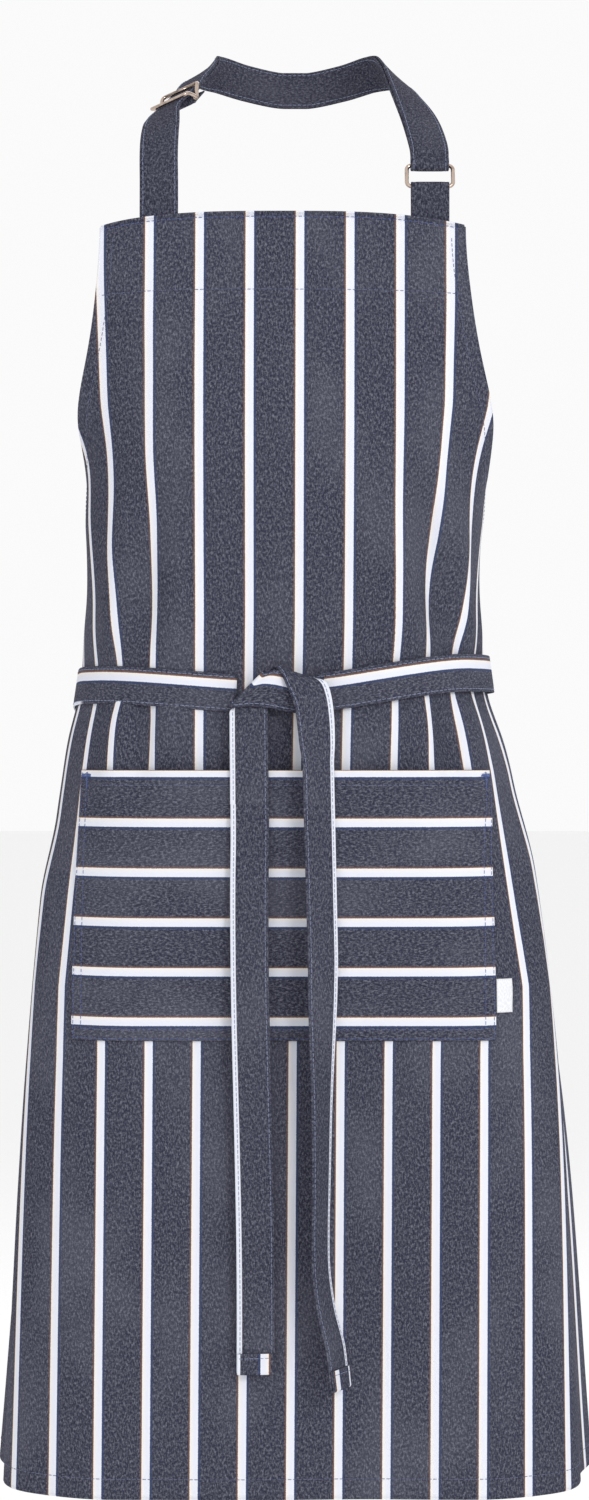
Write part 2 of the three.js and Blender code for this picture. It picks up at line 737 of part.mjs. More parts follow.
function addTies() {
  const base = CLOTH + tieSlack;
  const outer = base + TAPE + tieSlack;
  const over = tieStations(-1, waist.rightFrontZ, knot.right, 0, base, outer);
  const under = tieStations(1, waist.frontZ, knot.left, TAPE_WIDTH + waist.backGap, base, base);
  add("left_tie_band", strip(over), tape);
  add("right_tie_band", strip(under), tape);

  // The knot: one tie wraps the other from the right, the other comes up behind and falls over it.
  const front = formCurve.evaluate(waist.knotZ)[3];
  const level = (layers) => front - base - TAPE / 2 - layers * (TAPE + GAP);
  const [left, right] = [knot.left + 2, knot.right - 2];
  add(
    "knot_wrap",
    strip([
      { at: vec(right - 4, level(2), waist.knotZ + 2), across: Z, out: vec(0, -1, 0) },
      { at: vec(-10, level(3), waist.knotZ + 3), across: Z, out: vec(0, -1, 0) },
      { at: vec(left, level(2.4), waist.knotZ - 1), across: Z, out: vec(0, -1, 0) },
      { at: vec(left - 6, level(1.6), waist.knotZ - 1), across: Z, out: vec(-1, 0, 0) },
      { at: vec(left - 6, level(0.9), waist.knotZ - 1), across: Z, out: vec(-1, 0, 0) },
    ]),
    tape,
  );
  add(
    "knot_over",
    strip([
      { at: vec(-14, level(0.4), waist.knotZ + 6), across: X, out: vec(0, 1, 0) },
      { at: vec(-14, level(1.2), knotTopZ + 3.5), across: X, out: vec(0, 0.3, 1) },
      { at: vec(-6, level(4.2), knotTopZ + 4.5), across: X, out: vec(0, -0.8, 0.6) },
      { at: vec(4, level(4.4), waist.knotZ + 4), across: X, out: vec(0, -1, 0) },
      { at: vec(tails[1].topX - 2, level(4.2), knotLowZ - knot.drop), across: X, out: vec(0, -1, 0) },
    ]),
    tape,
  );

  // Each tail hangs from the knot and bends half way down.
  for (const { side, topX, topZ, endX, endZ, layers } of tails) {
    const tailY = level(layers);
    const x = (z) => THREE.MathUtils.mapLinear(z, topZ, endZ, topX, endX);
    const station = (z, more = {}) => ({ at: vec(x(z), tailY, z), across: X, out: Y, ...more });
    const gap = HINGE_GAP / 2;
    add(
      `${side}_tail_upper`,
      strip([
        station(topZ, { width: tail.tip }),
        station(topZ - tail.taper),
        station(tail.bendZ + gap),
      ]),
      tape,
    );
    add(
      `${side}_tail_lower`,
      strip([
        station(tail.bendZ - gap, { thick: HINGE_TIP }),
        station(tail.bendZ - gap - 3),
        station(endZ),
      ]),
      tape,
    );
    const hemY = tailY - TAPE / 2 - GAP - tail.hemLayer / 2;
    add(
      `${side}_tail_end_hem`,
      strip(
        [endZ, endZ + tail.endHem].map((z) => ({
          at: vec(x(z), hemY, z),
          across: X,
          out: Y,
          thick: tail.hemLayer,
          width: TAPE_WIDTH - 1,
        })),
      ),
      tape,
    );
  }
}

addPanel();
addPocket();
addStitching();
addNeckStrap();
addSlider();
addRing();
addTies();

export default apron;
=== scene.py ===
"""Looks of a worn, striped denim bib apron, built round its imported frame.

Lengths are millimetres until a mesh is made. +Z is up, -Y is the front, +X is the right as seen from
the front. Cloth is laid out flat as (along, z), along being the arc length round the worn outline.
"""

import math

import bmesh
import bpy
import numpy as np
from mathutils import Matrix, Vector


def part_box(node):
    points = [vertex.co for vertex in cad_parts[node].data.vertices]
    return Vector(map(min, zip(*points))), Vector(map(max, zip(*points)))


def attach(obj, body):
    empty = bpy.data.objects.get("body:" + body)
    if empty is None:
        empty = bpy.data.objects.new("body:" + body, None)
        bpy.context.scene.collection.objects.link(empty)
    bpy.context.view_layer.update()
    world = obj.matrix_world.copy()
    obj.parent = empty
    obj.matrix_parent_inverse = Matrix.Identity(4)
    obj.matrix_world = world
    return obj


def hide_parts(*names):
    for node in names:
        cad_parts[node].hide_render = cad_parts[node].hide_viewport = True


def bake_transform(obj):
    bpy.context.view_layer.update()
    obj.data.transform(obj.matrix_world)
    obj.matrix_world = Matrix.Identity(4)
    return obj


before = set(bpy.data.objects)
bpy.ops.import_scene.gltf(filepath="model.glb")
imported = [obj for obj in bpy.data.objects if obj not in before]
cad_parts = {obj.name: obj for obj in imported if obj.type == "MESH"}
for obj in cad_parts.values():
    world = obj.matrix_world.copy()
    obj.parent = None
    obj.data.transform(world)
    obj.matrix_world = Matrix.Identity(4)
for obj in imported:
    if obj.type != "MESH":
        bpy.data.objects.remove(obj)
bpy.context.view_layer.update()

MM = 0.001

# ---- sizes shared with the frame ----
TOP_Z = -117.0
HEM_Z = -955.0
BIB_HALF = 118.0
SKIRT_HALF = 350.0
ARMHOLE = 285.0
WAIST_Z = TOP_Z - ARMHOLE
FACING = 53.0
DROOP = 9.0
CENTRE_X = -8.0
SIDE_HEM = 10.0
BOTTOM_HEM = 15.0
POCKET_HALF = 140.0
POCKET_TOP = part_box("pocket")[1].z / MM
POCKET_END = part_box("pocket")[0].z / MM
POCKET_GAPE = 8.0
TAPE_WIDTH = 25.0
TAPE_THICK = 1.9
CLOTH = 0.75  # one layer of denim
PANEL_MIDDLE = 0.6  # of the panel, above the frame's inner face
PANEL_LOW, PANEL_HIGH = PANEL_MIDDLE - CLOTH / 2, PANEL_MIDDLE + CLOTH / 2
GAP = 0.35
STRIPE_PITCH = 32.5
# Height, half width, corner radius, side radius, front and middle of the body's outline.
FORM = np.array([
    (-955, 200, 84, 450, -150, 0),
    (-666, 178, 74, 300, -155, 0),
    (-478, 151, 80, 190, -161, -5),
    (-430, 138, 80, 160, -163, -7.5),
    (-371, 131, 70, 160, -170, -7.5),
    (-319, 131, 64, 160, -180, -7),
    (-266, 140, 74, 160, -187, -3.5),
    (-214, 200, 140, 160, -185, -1),
    (-150, 163, 60, 160, -176, 0),
    (-110, 163, 60, 160, -172, 0),
], float)


# ---- the worn surface ----
def form_at(z):
    """Half width, corner radius, side radius, front and middle of the body's outline at each height."""
    heights = FORM[:, 0]
    z = np.clip(np.asarray(z, float), heights[0], heights[-1])
    i = np.clip(np.searchsorted(heights, z, side="right") - 1, 0, len(heights) - 2)
    before = np.where(i > 0, i - 1, i + 1)
    after = np.where(i + 2 < len(heights), i + 2, i)
    t0, t1 = heights[i], heights[i + 1]
    wp = 0.5 * (t1 - t0) / (t0 - heights[before])
    wn = 0.5 * (t1 - t0) / (heights[after] - t1)
    p = (z - t0) / (t1 - t0)
    q, r = p * p, p * p * p
    weights = [
        (before, -wp * r + 2 * wp * q - wp * p),
        (i, (1 + wp) * r + (-1.5 - 2 * wp) * q + (-0.5 + wp) * p + 1),
        (i + 1, (-1 - wn) * r + (1.5 + wn) * q + 0.5 * p),
        (after, wn * r - wn * q),
    ]
    return sum(FORM[k, 1:] * w[..., None] for k, w in weights)


def grids(*values):
    """Arrays of numbers, spread to one shape."""
    return np.broadcast_arrays(*(np.asarray(value, float) for value in values))


def on_form(along, z, offset=0.0):
    """A point at an arc length along the outline at height z, moved outwards by offset."""
    along, z, offset = grids(along, z, offset)
    half, corner, side, front, middle = np.moveaxis(form_at(z), -1, 0)
    flat = half - corner
    u = np.abs(along - middle)
    quarter = corner * math.pi / 2
    turned = np.clip((u - flat) / corner, 0, math.pi / 2)
    past = np.maximum(u - flat - quarter, 0) / side
    heading = turned + past
    x = np.minimum(u, flat) + corner * np.sin(turned)
    y = front + corner * (1 - np.cos(turned))
    x = np.where(past > 0, half - side * (1 - np.cos(past)), x)
    y = np.where(past > 0, front + corner + side * np.sin(past), y)
    sign = np.where(along < middle, -1.0, 1.0)
    x = middle + sign * (x + offset * np.sin(heading))
    y = y - offset * np.cos(heading)
    return np.stack([x, y, z + 0 * x], -1)


def half_width(z):
    t = np.clip((TOP_Z - np.asarray(z, float)) / ARMHOLE, 0, 1)
    return BIB_HALF + (SKIRT_HALF - BIB_HALF) * (1 - np.sqrt(1 - t * t))


def smoothstep(x, low, high):
    t = np.clip((x - low) / (high - low), 0, 1)
    return t * t * (3 - 2 * t)


def bump(x, centre, width):
    return np.exp(-(((x - centre) / width) ** 2))


# Soft folds: place along the cloth, width, top, bottom, depth outwards, and slant in mm a mm of height.
FOLDS = [
    (-96, 12, -280, -418, -7.0, 0.10),
    (-72, 11, -320, -420, 4.0, 0.05),
    (-122, 11, -300, -420, 4.5, 0.12),
    (92, 11, -270, -420, -8.5, -0.16),
    (68, 11, -310, -420, 4.4, -0.10),
    (116, 11, -290, -420, 5.5, -0.14),
    (-118, 10, -404, -510, 5.0, 0.08),
    (-99, 8, -404, -500, -6.0, 0.06),
    (-80, 9, -404, -480, 4.0, 0.03),
    (82, 9, -404, -486, 4.0, -0.05),
    (101, 8, -404, -510, -6.5, -0.06),
    (121, 11, -404, -530, 5.5, -0.08),
    (-190, 26, -520, -955, 5.0, 0.02),
    (-236, 24, -430, -955, -6.0, 0.03),
    (-285, 26, -430, -955, 6.0, 0.02),
    (182, 24, -500, -955, 4.0, -0.03),
    (225, 24, -430, -955, -6.0, -0.03),
    (275, 26, -430, -955, 6.0, -0.02),
    (-40, 46, -660, -955, 1.6, 0.0),
    (46, 40, -660, -955, -1.6, 0.0),
    (-60, 34, -150, -300, 1.2, 0.05),
    (64, 34, -150, -300, -1.2, -0.05),
]
TIE_Z = -420.0


def fold_depth(along, z):
    """How far the soft folds move the cloth outwards."""
    depth = 0.0
    for centre, width, top, bottom, amount, slant in FOLDS:
        middle = centre + slant * (z - (top + bottom) / 2)
        fade = min(45.0, (top - bottom) / 2)
        window = smoothstep(z, bottom - 12, bottom + fade)
        if bottom <= HEM_Z:
            window = 1.0
        window = window * (1 - smoothstep(z, top - fade, top + 12))
        depth = depth + amount * bump(along, middle, width) * window
    # The tie holds the cloth in, and it bulges a little above and below.
    held = bump(z, TIE_Z, 17)
    bulge = bump(z, TIE_Z + 34, 17) + bump(z, TIE_Z - 34, 17)
    return depth * (1 - held) - 0.5 * held + 0.9 * bulge


def cloth(along, z, offset=0.0):
    """A point of the worn cloth, offset outwards from the panel's inner face."""
    along, z, offset = grids(along, z, offset)
    share = (along - CENTRE_X) / half_width(z)
    point = on_form(along, z, offset + fold_depth(along, z))
    fade = np.exp(np.minimum(z - TOP_Z, 0) / FACING)
    point[..., 2] -= DROOP * np.abs(share) ** 3 * fade
    return point


def stripe_u(along, z):
    """Distance across the stripes: they run down the cloth, a little off its middle line.

    Gathers at the waist and ripples in the skirt take cloth up, so the stripes lie closer there.
    """
    z = np.asarray(z, float)
    drift = np.interp(z, [HEM_Z, -660, -380, TOP_Z], [-3.0, -1.2, 3.0, 3.6])
    u = along - drift
    close = np.interp(z, [HEM_Z, -666, -480, -398, TOP_Z], [1.030, 1.037, 1.020, 1.008, 1.0])
    gather = np.interp(z, [-620, -480, -425, -330, -240], [0.0, 0.55, 1.0, 0.35, 0.0])
    right = np.clip(u - 62, 0, 90) * 0.52 * gather
    left = np.clip(-u - 92, 0, 70) * 0.34 * gather
    return u * close + right - left


# ---- materials ----
class Nodes:
    """Short calls for the nodes of one material."""

    def __init__(self, name):
        self.material = bpy.data.materials.new(name)
        self.material.use_nodes = True
        self.tree = self.material.node_tree
        self.shader = self.tree.nodes["Principled BSDF"]
        self.uv = self.tree.nodes.new("ShaderNodeUVMap")
        self.uv.uv_map = "UVMap"
        split = self.tree.nodes.new("ShaderNodeSeparateXYZ")
        self.link(self.uv.outputs[0], split.inputs[0])
        self.u, self.v = split.outputs[0], split.outputs[1]

    def link(self, output, socket):
        self.tree.links.new(output, socket)

    def put(self, value, socket):
        if isinstance(value, bpy.types.NodeSocket):
            self.link(value, socket)
        else:
            socket.default_value = value

    def math(self, operation, *values, clamp=False):
        node = self.tree.nodes.new("ShaderNodeMath")
        node.operation = operation
        node.use_clamp = clamp
        for value, socket in zip(values, node.inputs):
            self.put(value, socket)
        return node.outputs[0]

    def times(self, first, second):
        return self.math("MULTIPLY", first, second)

    def plus(self, first, second):
        return self.math("ADD", first, second)

    def wave(self, value, period=1.0):
        return self.math("SINE", self.times(value, 2 * math.pi / period))

    def band(self, value, rise, fall):
        """One between two edges, each given as the pair of values it runs over."""
        return self.times(self.ramp(value, *rise), self.ramp(value, *fall))

    def ramp(self, value, low, high, start=0.0, end=1.0):
        node = self.tree.nodes.new("ShaderNodeMapRange")
        node.interpolation_type = "SMOOTHSTEP"
        for socket, given in zip(node.inputs, (value, low, high, start, end)):
            self.put(given, socket)
        return node.outputs[0]

    def mix(self, share, first, second):
        node = self.tree.nodes.new("ShaderNodeMix")
        node.data_type = "RGBA"
        self.put(share, node.inputs[0])
        for value, socket in ((first, node.inputs[6]), (second, node.inputs[7])):
            if not isinstance(value, bpy.types.NodeSocket):
                value = (*value, 1.0)
            self.put(value, socket)
        return node.outputs[2]

    def place(self, scale_u, scale_v, turn=0.0):
        node = self.tree.nodes.new("ShaderNodeMapping")
        node.inputs["Rotation"].default_value = (0, 0, turn)
        node.inputs["Scale"].default_value = (scale_u, scale_v, 1)
        self.link(self.uv.outputs[0], node.inputs[0])
        return node.outputs[0]

    def noise(self, place, detail=2.0, rough=0.5):
        node = self.tree.nodes.new("ShaderNodeTexNoise")
        node.inputs["Scale"].default_value = 1.0
        node.inputs["Detail"].default_value = detail
        node.inputs["Roughness"].default_value = rough
        self.link(place, node.inputs["Vector"])
        return node.outputs[0]

    def bump(self, height, distance, strength=1.0):
        node = self.tree.nodes.new("ShaderNodeBump")
        node.inputs["Distance"].default_value = distance
        node.inputs["Strength"].default_value = strength
        self.link(height, node.inputs["Height"])
        self.link(node.outputs[0], self.shader.inputs["Normal"])


DENIM_DARK = (0.022, 0.023, 0.042)
DENIM_MID = (0.065, 0.067, 0.096)
DENIM_LIGHT = (0.190, 0.196, 0.240)
WHITE = (0.70, 0.72, 0.80)
CREAM = (0.80, 0.75, 0.71)
RUST = (0.19, 0.095, 0.06)
NAVY = (0.035, 0.055, 0.13)
TWILL = 0.00085  # one diagonal rib, in metres, as are the next three
WHITE_EDGE = (0.0029, 0.0026)  # half a white stripe, over its soft edge
TAPE_STRIPE = 0.0182  # the stripe's middle, across a tape
YARN = 0.0009  # one pale yarn along a stripe
PALE_SHADES = (0.60, 0.61, 0.67), (0.55, 0.56, 0.63)


def denim(name, stripes, shade=1.0, piped=0.0):
    """Denim with a twill weave. stripes is "panel", "tape" or None; u runs across them, in metres.

    A tape also shows white along one edge, from piped metres along it, or before that if negative.
    """
    n = Nodes(name)
    dark, mid, light = ([c * shade for c in colour] for colour in (DENIM_DARK, DENIM_MID, DENIM_LIGHT))
    # Twill ribs at an angle, broken up by uneven yarn.
    slub = n.noise(n.place(420, 900), 2, 0.6)
    across = n.plus(n.u, n.times(n.v, 0.55))
    phase = n.plus(n.math("DIVIDE", across, TWILL), n.times(slub, 0.9))
    rib = n.math("MULTIPLY_ADD", n.wave(phase), 0.5, 0.5)
    fleck = n.noise(n.place(1000, 400, 0.7), 3, 0.7)
    grain = n.noise(n.place(470, 640, -0.5), 3, 0.7)
    cloud = n.noise(n.place(14, 8), 3, 0.55)
    base = n.mix(n.ramp(fleck, 0.38, 0.60), dark, mid)
    sparks = n.times(n.ramp(fleck, 0.52, 0.68), n.ramp(rib, 0.0, 0.9, 0.35, 1.0))
    base = n.mix(n.times(sparks, 0.9), base, light)
    base = n.mix(n.ramp(grain, 0.50, 0.70, 0.0, 0.5), base, light)
    base = n.mix(n.ramp(grain, 0.5, 0.32, 0.0, 0.6), base, dark)
    base = n.mix(n.ramp(cloud, 0.42, 0.68, 0.0, 0.16), base, light)
    height = n.math("MULTIPLY_ADD", fleck, 0.6, n.times(rib, 0.5))
    if stripes:
        jag = n.times(n.math("SUBTRACT", n.noise(n.place(300, 1500), 1), 0.5), 0.0005)
        u = n.plus(n.u, jag)
        if stripes == "panel":
            turns = n.plus(n.math("DIVIDE", u, STRIPE_PITCH * MM), 0.5)
            side = n.times(n.math("SUBTRACT", n.math("FRACT", turns), 0.5), STRIPE_PITCH * MM)
            white = n.ramp(n.math("ABSOLUTE", side), *WHITE_EDGE)
            rust = n.band(side, (-0.0040, -0.0034), (-0.0026, -0.0030))
            navy = n.band(side, (0.0026, 0.0030), (0.0048, 0.0036))
            tint = n.ramp(side, -0.0028, 0.0004, 1.0, 0.0)
        else:
            side = n.math("SUBTRACT", u, TAPE_STRIPE)
            white = n.ramp(n.math("ABSOLUTE", side), *WHITE_EDGE)
            edge = n.math("ADD", n.ramp(n.u, 0.0464, 0.0467), n.ramp(n.u, 0.0022, 0.0019), clamp=True)
            if piped:
                near, far = (0.0, 1.0) if piped > 0 else (1.0, 0.0)
                reach = abs(piped)
                edge = n.times(edge, n.ramp(n.v, reach - 0.004, reach + 0.004, near, far))
            white = n.math("MAXIMUM", white, edge)
            rust = n.band(side, (0.0042, 0.0036), (0.0026, 0.0030))
            navy = n.band(side, (-0.0026, -0.0030), (-0.0048, -0.0036))
            tint = n.math("SUBTRACT", n.ramp(side, -0.0004, 0.0028), edge, clamp=True)
        base = n.mix(n.times(rust, 0.75), base, RUST)
        base = n.mix(n.times(navy, 0.8), base, NAVY)
        pale = n.mix(tint, WHITE, CREAM)
        pale = n.mix(n.ramp(n.wave(n.v, YARN), 0.0, 1.0, 0.0, 0.10), pale, PALE_SHADES[0])
        pale = n.mix(n.ramp(fleck, 0.5, 0.75, 0.0, 0.10), pale, PALE_SHADES[1])
        base = n.mix(white, base, pale)
        height = n.plus(height, n.times(white, 0.35))
    n.link(base, n.shader.inputs["Base Color"])
    n.shader.inputs["Roughness"].default_value = 0.92
    n.shader.inputs["Specular IOR Level"].default_value = 0.10
    n.bump(height, 0.00022, 0.7)
    return n.material


def thread_material(name, colour):
    """Twisted sewing thread."""
    n = Nodes(name)
    twist = n.wave(n.plus(n.u, n.v), 0.0005)
    shade = n.noise(n.place(900, 900), 2)
    pale = [min(1.0, c * 1.9 + 0.03) for c in colour]
    n.link(n.mix(n.ramp(shade, 0.3, 0.75, 0.0, 0.7), colour, pale), n.shader.inputs["Base Color"])
    n.shader.inputs["Roughness"].default_value = 0.6
    n.bump(twist, 0.00006, 0.5)
    return n.material


def satin_material(name):
    """Plain woven satin ribbon."""
    n = Nodes(name)
    weft = n.wave(n.v, 0.0004)
    shade = n.noise(n.place(1400, 500), 2)
    colour = n.mix(n.ramp(shade, 0.35, 0.7), (0.66, 0.67, 0.70), (0.80, 0.80, 0.83))
    n.link(colour, n.shader.inputs["Base Color"])
    n.shader.inputs["Roughness"].default_value = 0.42
    n.bump(weft, 0.00004, 0.5)
    return n.material


def wire_material(name):
    """Polished warm nickel wire with fine drawn lines and a few rub marks in its roughness. Its base colour
    is painted darker than the bare metal, and darker still in noise patches, as a painted reflection of
    dark surroundings.
    """
    n = Nodes(name)
    drawn = n.noise(n.place(5200, 160), 2)
    rubbed_and_painted_reflection = n.noise(n.place(260, 180), 3)
    # Painted reflection: the base colour is darkened, most of all in noise patches, to stand for dark
    # surroundings reflected in the wire. The same noise also sets the real rub marks in the roughness.
    colour = n.mix(n.ramp(rubbed_and_painted_reflection, 0.4, 0.75), (0.56, 0.45, 0.38), (0.30, 0.22, 0.18))
    n.link(colour, n.shader.inputs["Base Color"])
    n.link(n.ramp(rubbed_and_painted_reflection, 0.35, 0.75, 0.16, 0.34), n.shader.inputs["Roughness"])
    n.shader.inputs["Metallic"].default_value = 1.0
    n.bump(drawn, 0.00003, 0.4)
    return n.material


PANEL_DENIM = denim("striped_denim", "panel")
TAPE_DENIM = denim("tie_denim", "tape")
BAND_DENIM = denim("band_denim", "tape", piped=9.0)
LEFT_BAND_DENIM = denim("left_band_denim", "tape", piped=-0.372)
OVER_DENIM = denim("over_denim", "tape", piped=0.034)
WRAP_DENIM = denim("wrap_denim", "tape", piped=0.058)
STRAP_DENIM = denim("strap_denim", None, 0.85)
BLUE_THREAD = thread_material("blue_thread", (0.045, 0.075, 0.21))
GREY_THREAD = thread_material("grey_thread", (0.16, 0.19, 0.29))
HEM_THREAD = thread_material("hem_thread", (0.070, 0.085, 0.150))
SATIN = satin_material("label_satin")
NICKEL = wire_material("nickel_wire")


# ---- meshes ----
def make(name, points, faces, uvs, material):
    """A smooth mesh from points in mm, faces as index rows, and a (u, v) in mm for each face corner."""
    mesh = bpy.data.meshes.new(name)
    mesh.from_pydata((np.asarray(points).reshape(-1, 3) * MM).tolist(), [], faces.tolist())
    layer = mesh.uv_layers.new(name="UVMap")
    layer.data.foreach_set("uv", (np.asarray(uvs, float) * MM).ravel())
    mesh.polygons.foreach_set("use_smooth", np.ones(len(mesh.polygons), bool))
    mesh.materials.append(material)
    mesh.update()
    obj = bpy.data.objects.new(name, mesh)
    bpy.context.scene.collection.objects.link(obj)
    return obj


def grid_faces(rows, columns, wrap=False):
    """Quads of a grid of points, closed across when wrap is set."""
    i = np.arange(rows - 1)[:, None]
    j = np.arange(columns if wrap else columns - 1)[None, :]
    k = (j + 1) % columns
    a, b = i * columns + j, i * columns + k
    c, d = (i + 1) * columns + k, (i + 1) * columns + j
    return np.stack(np.broadcast_arrays(a, b, c, d), -1).reshape(-1, 4)


def slab(name, along, z, low, high, uv, material):
    """A layer of cloth over a flat grid (along, z), between two offsets, with a rim."""
    rows, columns = along.shape
    outer, inner = cloth(along, z, high), cloth(along, z, low)
    size = rows * columns
    face = grid_faces(rows, columns)
    edge = np.concatenate([
        np.arange(columns),
        np.arange(1, rows) * columns + columns - 1,
        size - 2 - np.arange(columns - 1),
        (rows - 2 - np.arange(rows - 2)) * columns,
    ])
    turn = np.roll(edge, -1)
    rim = np.stack([edge, edge + size, turn + size, turn], -1)
    faces = np.concatenate([face[:, ::-1], face + size, rim])
    flat_uv = np.concatenate([uv.reshape(-1, 2)] * 2)
    points = np.concatenate([outer.reshape(-1, 3), inner.reshape(-1, 3)])
    return make(name, points, faces, flat_uv[faces.ravel()], material)


def rolled_edge(name, path, inward, back, radius):
    """The panel's edge turned round to the back along a flat path, with its return inside."""
    half = CLOTH / 2
    turn = np.linspace(0, math.pi, 9)
    run = np.linspace(0, back, max(3, int(back / 4)))[1:]

    def face(away):
        """One face of the section: round the turn, then back along the return."""
        bend = [(-away * math.sin(t), PANEL_MIDDLE - radius + away * math.cos(t)) for t in turn]
        return bend + [(s, PANEL_MIDDLE - radius - away) for s in run]

    travelled = np.concatenate([radius * turn, radius * math.pi + run])
    section = np.array(face(radius + half) + face(radius - half)[::-1])
    past = np.concatenate([travelled, travelled[::-1]])
    along = path[:, :1] + inward[:, :1] * section[None, :, 0]
    z = path[:, 1:] + inward[:, 1:] * section[None, :, 0]
    points = cloth(along, z, section[None, :, 1])
    faces = grid_faces(len(path), len(section), wrap=True)
    flat_a = path[:, :1] - inward[:, :1] * past[None, :]
    flat_z = path[:, 1:] - inward[:, 1:] * past[None, :]
    uv = np.stack([stripe_u(flat_a, flat_z), flat_z], -1).reshape(-1, 2)
    size = len(section)
    caps = np.array([
        [base + j, base + j + 1, base + size - 2 - j, base + size - 1 - j]
        for base in (0, (len(path) - 1) * size)
        for j in range(size // 2 - 1)
    ])
    faces = np.concatenate([faces, caps])
    obj = make(name, points, faces, uv[faces.ravel()], PANEL_DENIM)
    reworked(obj)
    return obj


def reworked(obj, change=None):
    """Makes a change to a mesh, if one is given, and turns its faces outwards."""
    work = bmesh.new()
    work.from_mesh(obj.data)
    if change:
        change(work)
    bmesh.ops.recalc_face_normals(work, faces=work.faces)
    work.to_mesh(obj.data)
    work.free()


def unit(vectors):
    vectors = np.asarray(vectors, float)
    return vectors / np.maximum(np.linalg.norm(vectors, axis=-1, keepdims=True), 1e-9)


def arc_lengths(points):
    steps = np.linalg.norm(np.diff(points, axis=0), axis=1)
    return np.concatenate([[0], np.cumsum(steps)])


def catmull(points, steps):
    """A centripetal curve through points, with so many steps a span."""
    points = np.asarray(points, float)
    padded = np.vstack([2 * points[0] - points[1], points, 2 * points[-1] - points[-2]])
    out = []
    for k in range(len(points) - 1):
        x0, x1, x2, x3 = padded[k : k + 4]
        d0, d1, d2 = (max(np.linalg.norm(b - a) ** 0.5, 1e-4) for a, b in ((x0, x1), (x1, x2), (x2, x3)))
        t1 = ((x1 - x0) / d0 - (x2 - x0) / (d0 + d1) + (x2 - x1) / d1) * d1
        t2 = ((x2 - x1) / d1 - (x3 - x1) / (d1 + d2) + (x3 - x2) / d2) * d1
        t = np.arange(steps)[:, None] / steps
        out.append(x1 + t1 * t + (3 * (x2 - x1) - 2 * t1 - t2) * t**2 + (2 * (x1 - x2) + t1 + t2) * t**3)
    out.append(points[-1:])
    return np.vstack(out)


# A tape's cross-section: share of the half width, share of the half thickness. The rows of
# stitches near both edges draw it in.
TAPE_FACE = np.array([
    (-1.0, 0.0), (-0.985, 0.55), (-0.94, 0.88), (-0.88, 0.80), (-0.83, 0.66), (-0.76, 0.86), (-0.6, 0.98),
    (-0.3, 1.0), (0.0, 1.0), (0.3, 1.0), (0.6, 0.98), (0.76, 0.86), (0.83, 0.66), (0.88, 0.80),
    (0.94, 0.88), (0.985, 0.55),
])
TAPE_STITCH = 0.83


def tape(name, at, across, out, material, thick=TAPE_THICK, width=TAPE_WIDTH, caps=(True, True)):
    """A flat folded tape along stations, its face looking along out; u starts at the edge -across."""
    at, across, out = (np.asarray(values, float) for values in (at, across, out))
    count = len(at)
    width = np.broadcast_to(np.asarray(width, float), (count,))
    thick = np.broadcast_to(np.asarray(thick, float), (count,))
    ring = np.concatenate([TAPE_FACE, TAPE_FACE * (-1, -1)])
    points = (
        at[:, None]
        + across[:, None] * (ring[None, :, 0] * width[:, None] / 2)[..., None]
        + out[:, None] * (ring[None, :, 1] * thick[:, None] / 2)[..., None]
    )
    size = len(ring)
    faces = grid_faces(count, size, wrap=True)
    u = np.concatenate([(TAPE_FACE[:, 0] + 1) / 2, 1 + (TAPE_FACE[:, 0] + 1) / 2]) * TAPE_WIDTH
    travel = arc_lengths(at)
    v = np.repeat(travel, size)
    corner_u = np.tile(u, count)[faces]
    last = (faces % size)[:, [1, 2]] == 0
    corner_u[:, 1] = np.where(last[:, 0], 2 * TAPE_WIDTH, corner_u[:, 1])
    corner_u[:, 2] = np.where(last[:, 1], 2 * TAPE_WIDTH, corner_u[:, 2])
    uv = np.stack([corner_u, v[faces]], -1).reshape(-1, 2)
    middle = count // 2
    path = at[min(middle + 1, count - 1)] - at[middle - 1]
    if np.dot(np.cross(path, across[middle]), out[middle]) > 0:
        faces = faces[:, ::-1]
        uv = uv.reshape(-1, 4, 2)[:, ::-1].reshape(-1, 2)
    obj = make(name, points, faces, uv, material)
    if any(caps):
        close_ends(obj, size, count, caps)
    return obj


def close_ends(obj, size, count, caps):
    """Fills a tape's ends, each in the plain colour between its stripes."""

    def fill(work):
        work.verts.ensure_lookup_table()
        layer = work.loops.layers.uv.active
        for wanted, base in zip(caps, (0, (count - 1) * size)):
            if wanted:
                face = work.faces.new([work.verts[base + k] for k in range(size)])
                face.smooth = False
                for loop in face.loops:
                    loop[layer].uv = (0.008, 0.003)

    reworked(obj, fill)


def frames(at, hint):
    """Width directions square to the path, and outward normals, from a hint for the width."""
    path = unit(np.gradient(at, axis=0))
    hint = np.asarray(hint, float)
    across = unit(hint - path * (hint * path).sum(-1, keepdims=True))
    return across, unit(np.cross(across, path))


STITCH = {"length": 2.7, "gap": 0.7, "radius": 0.21}


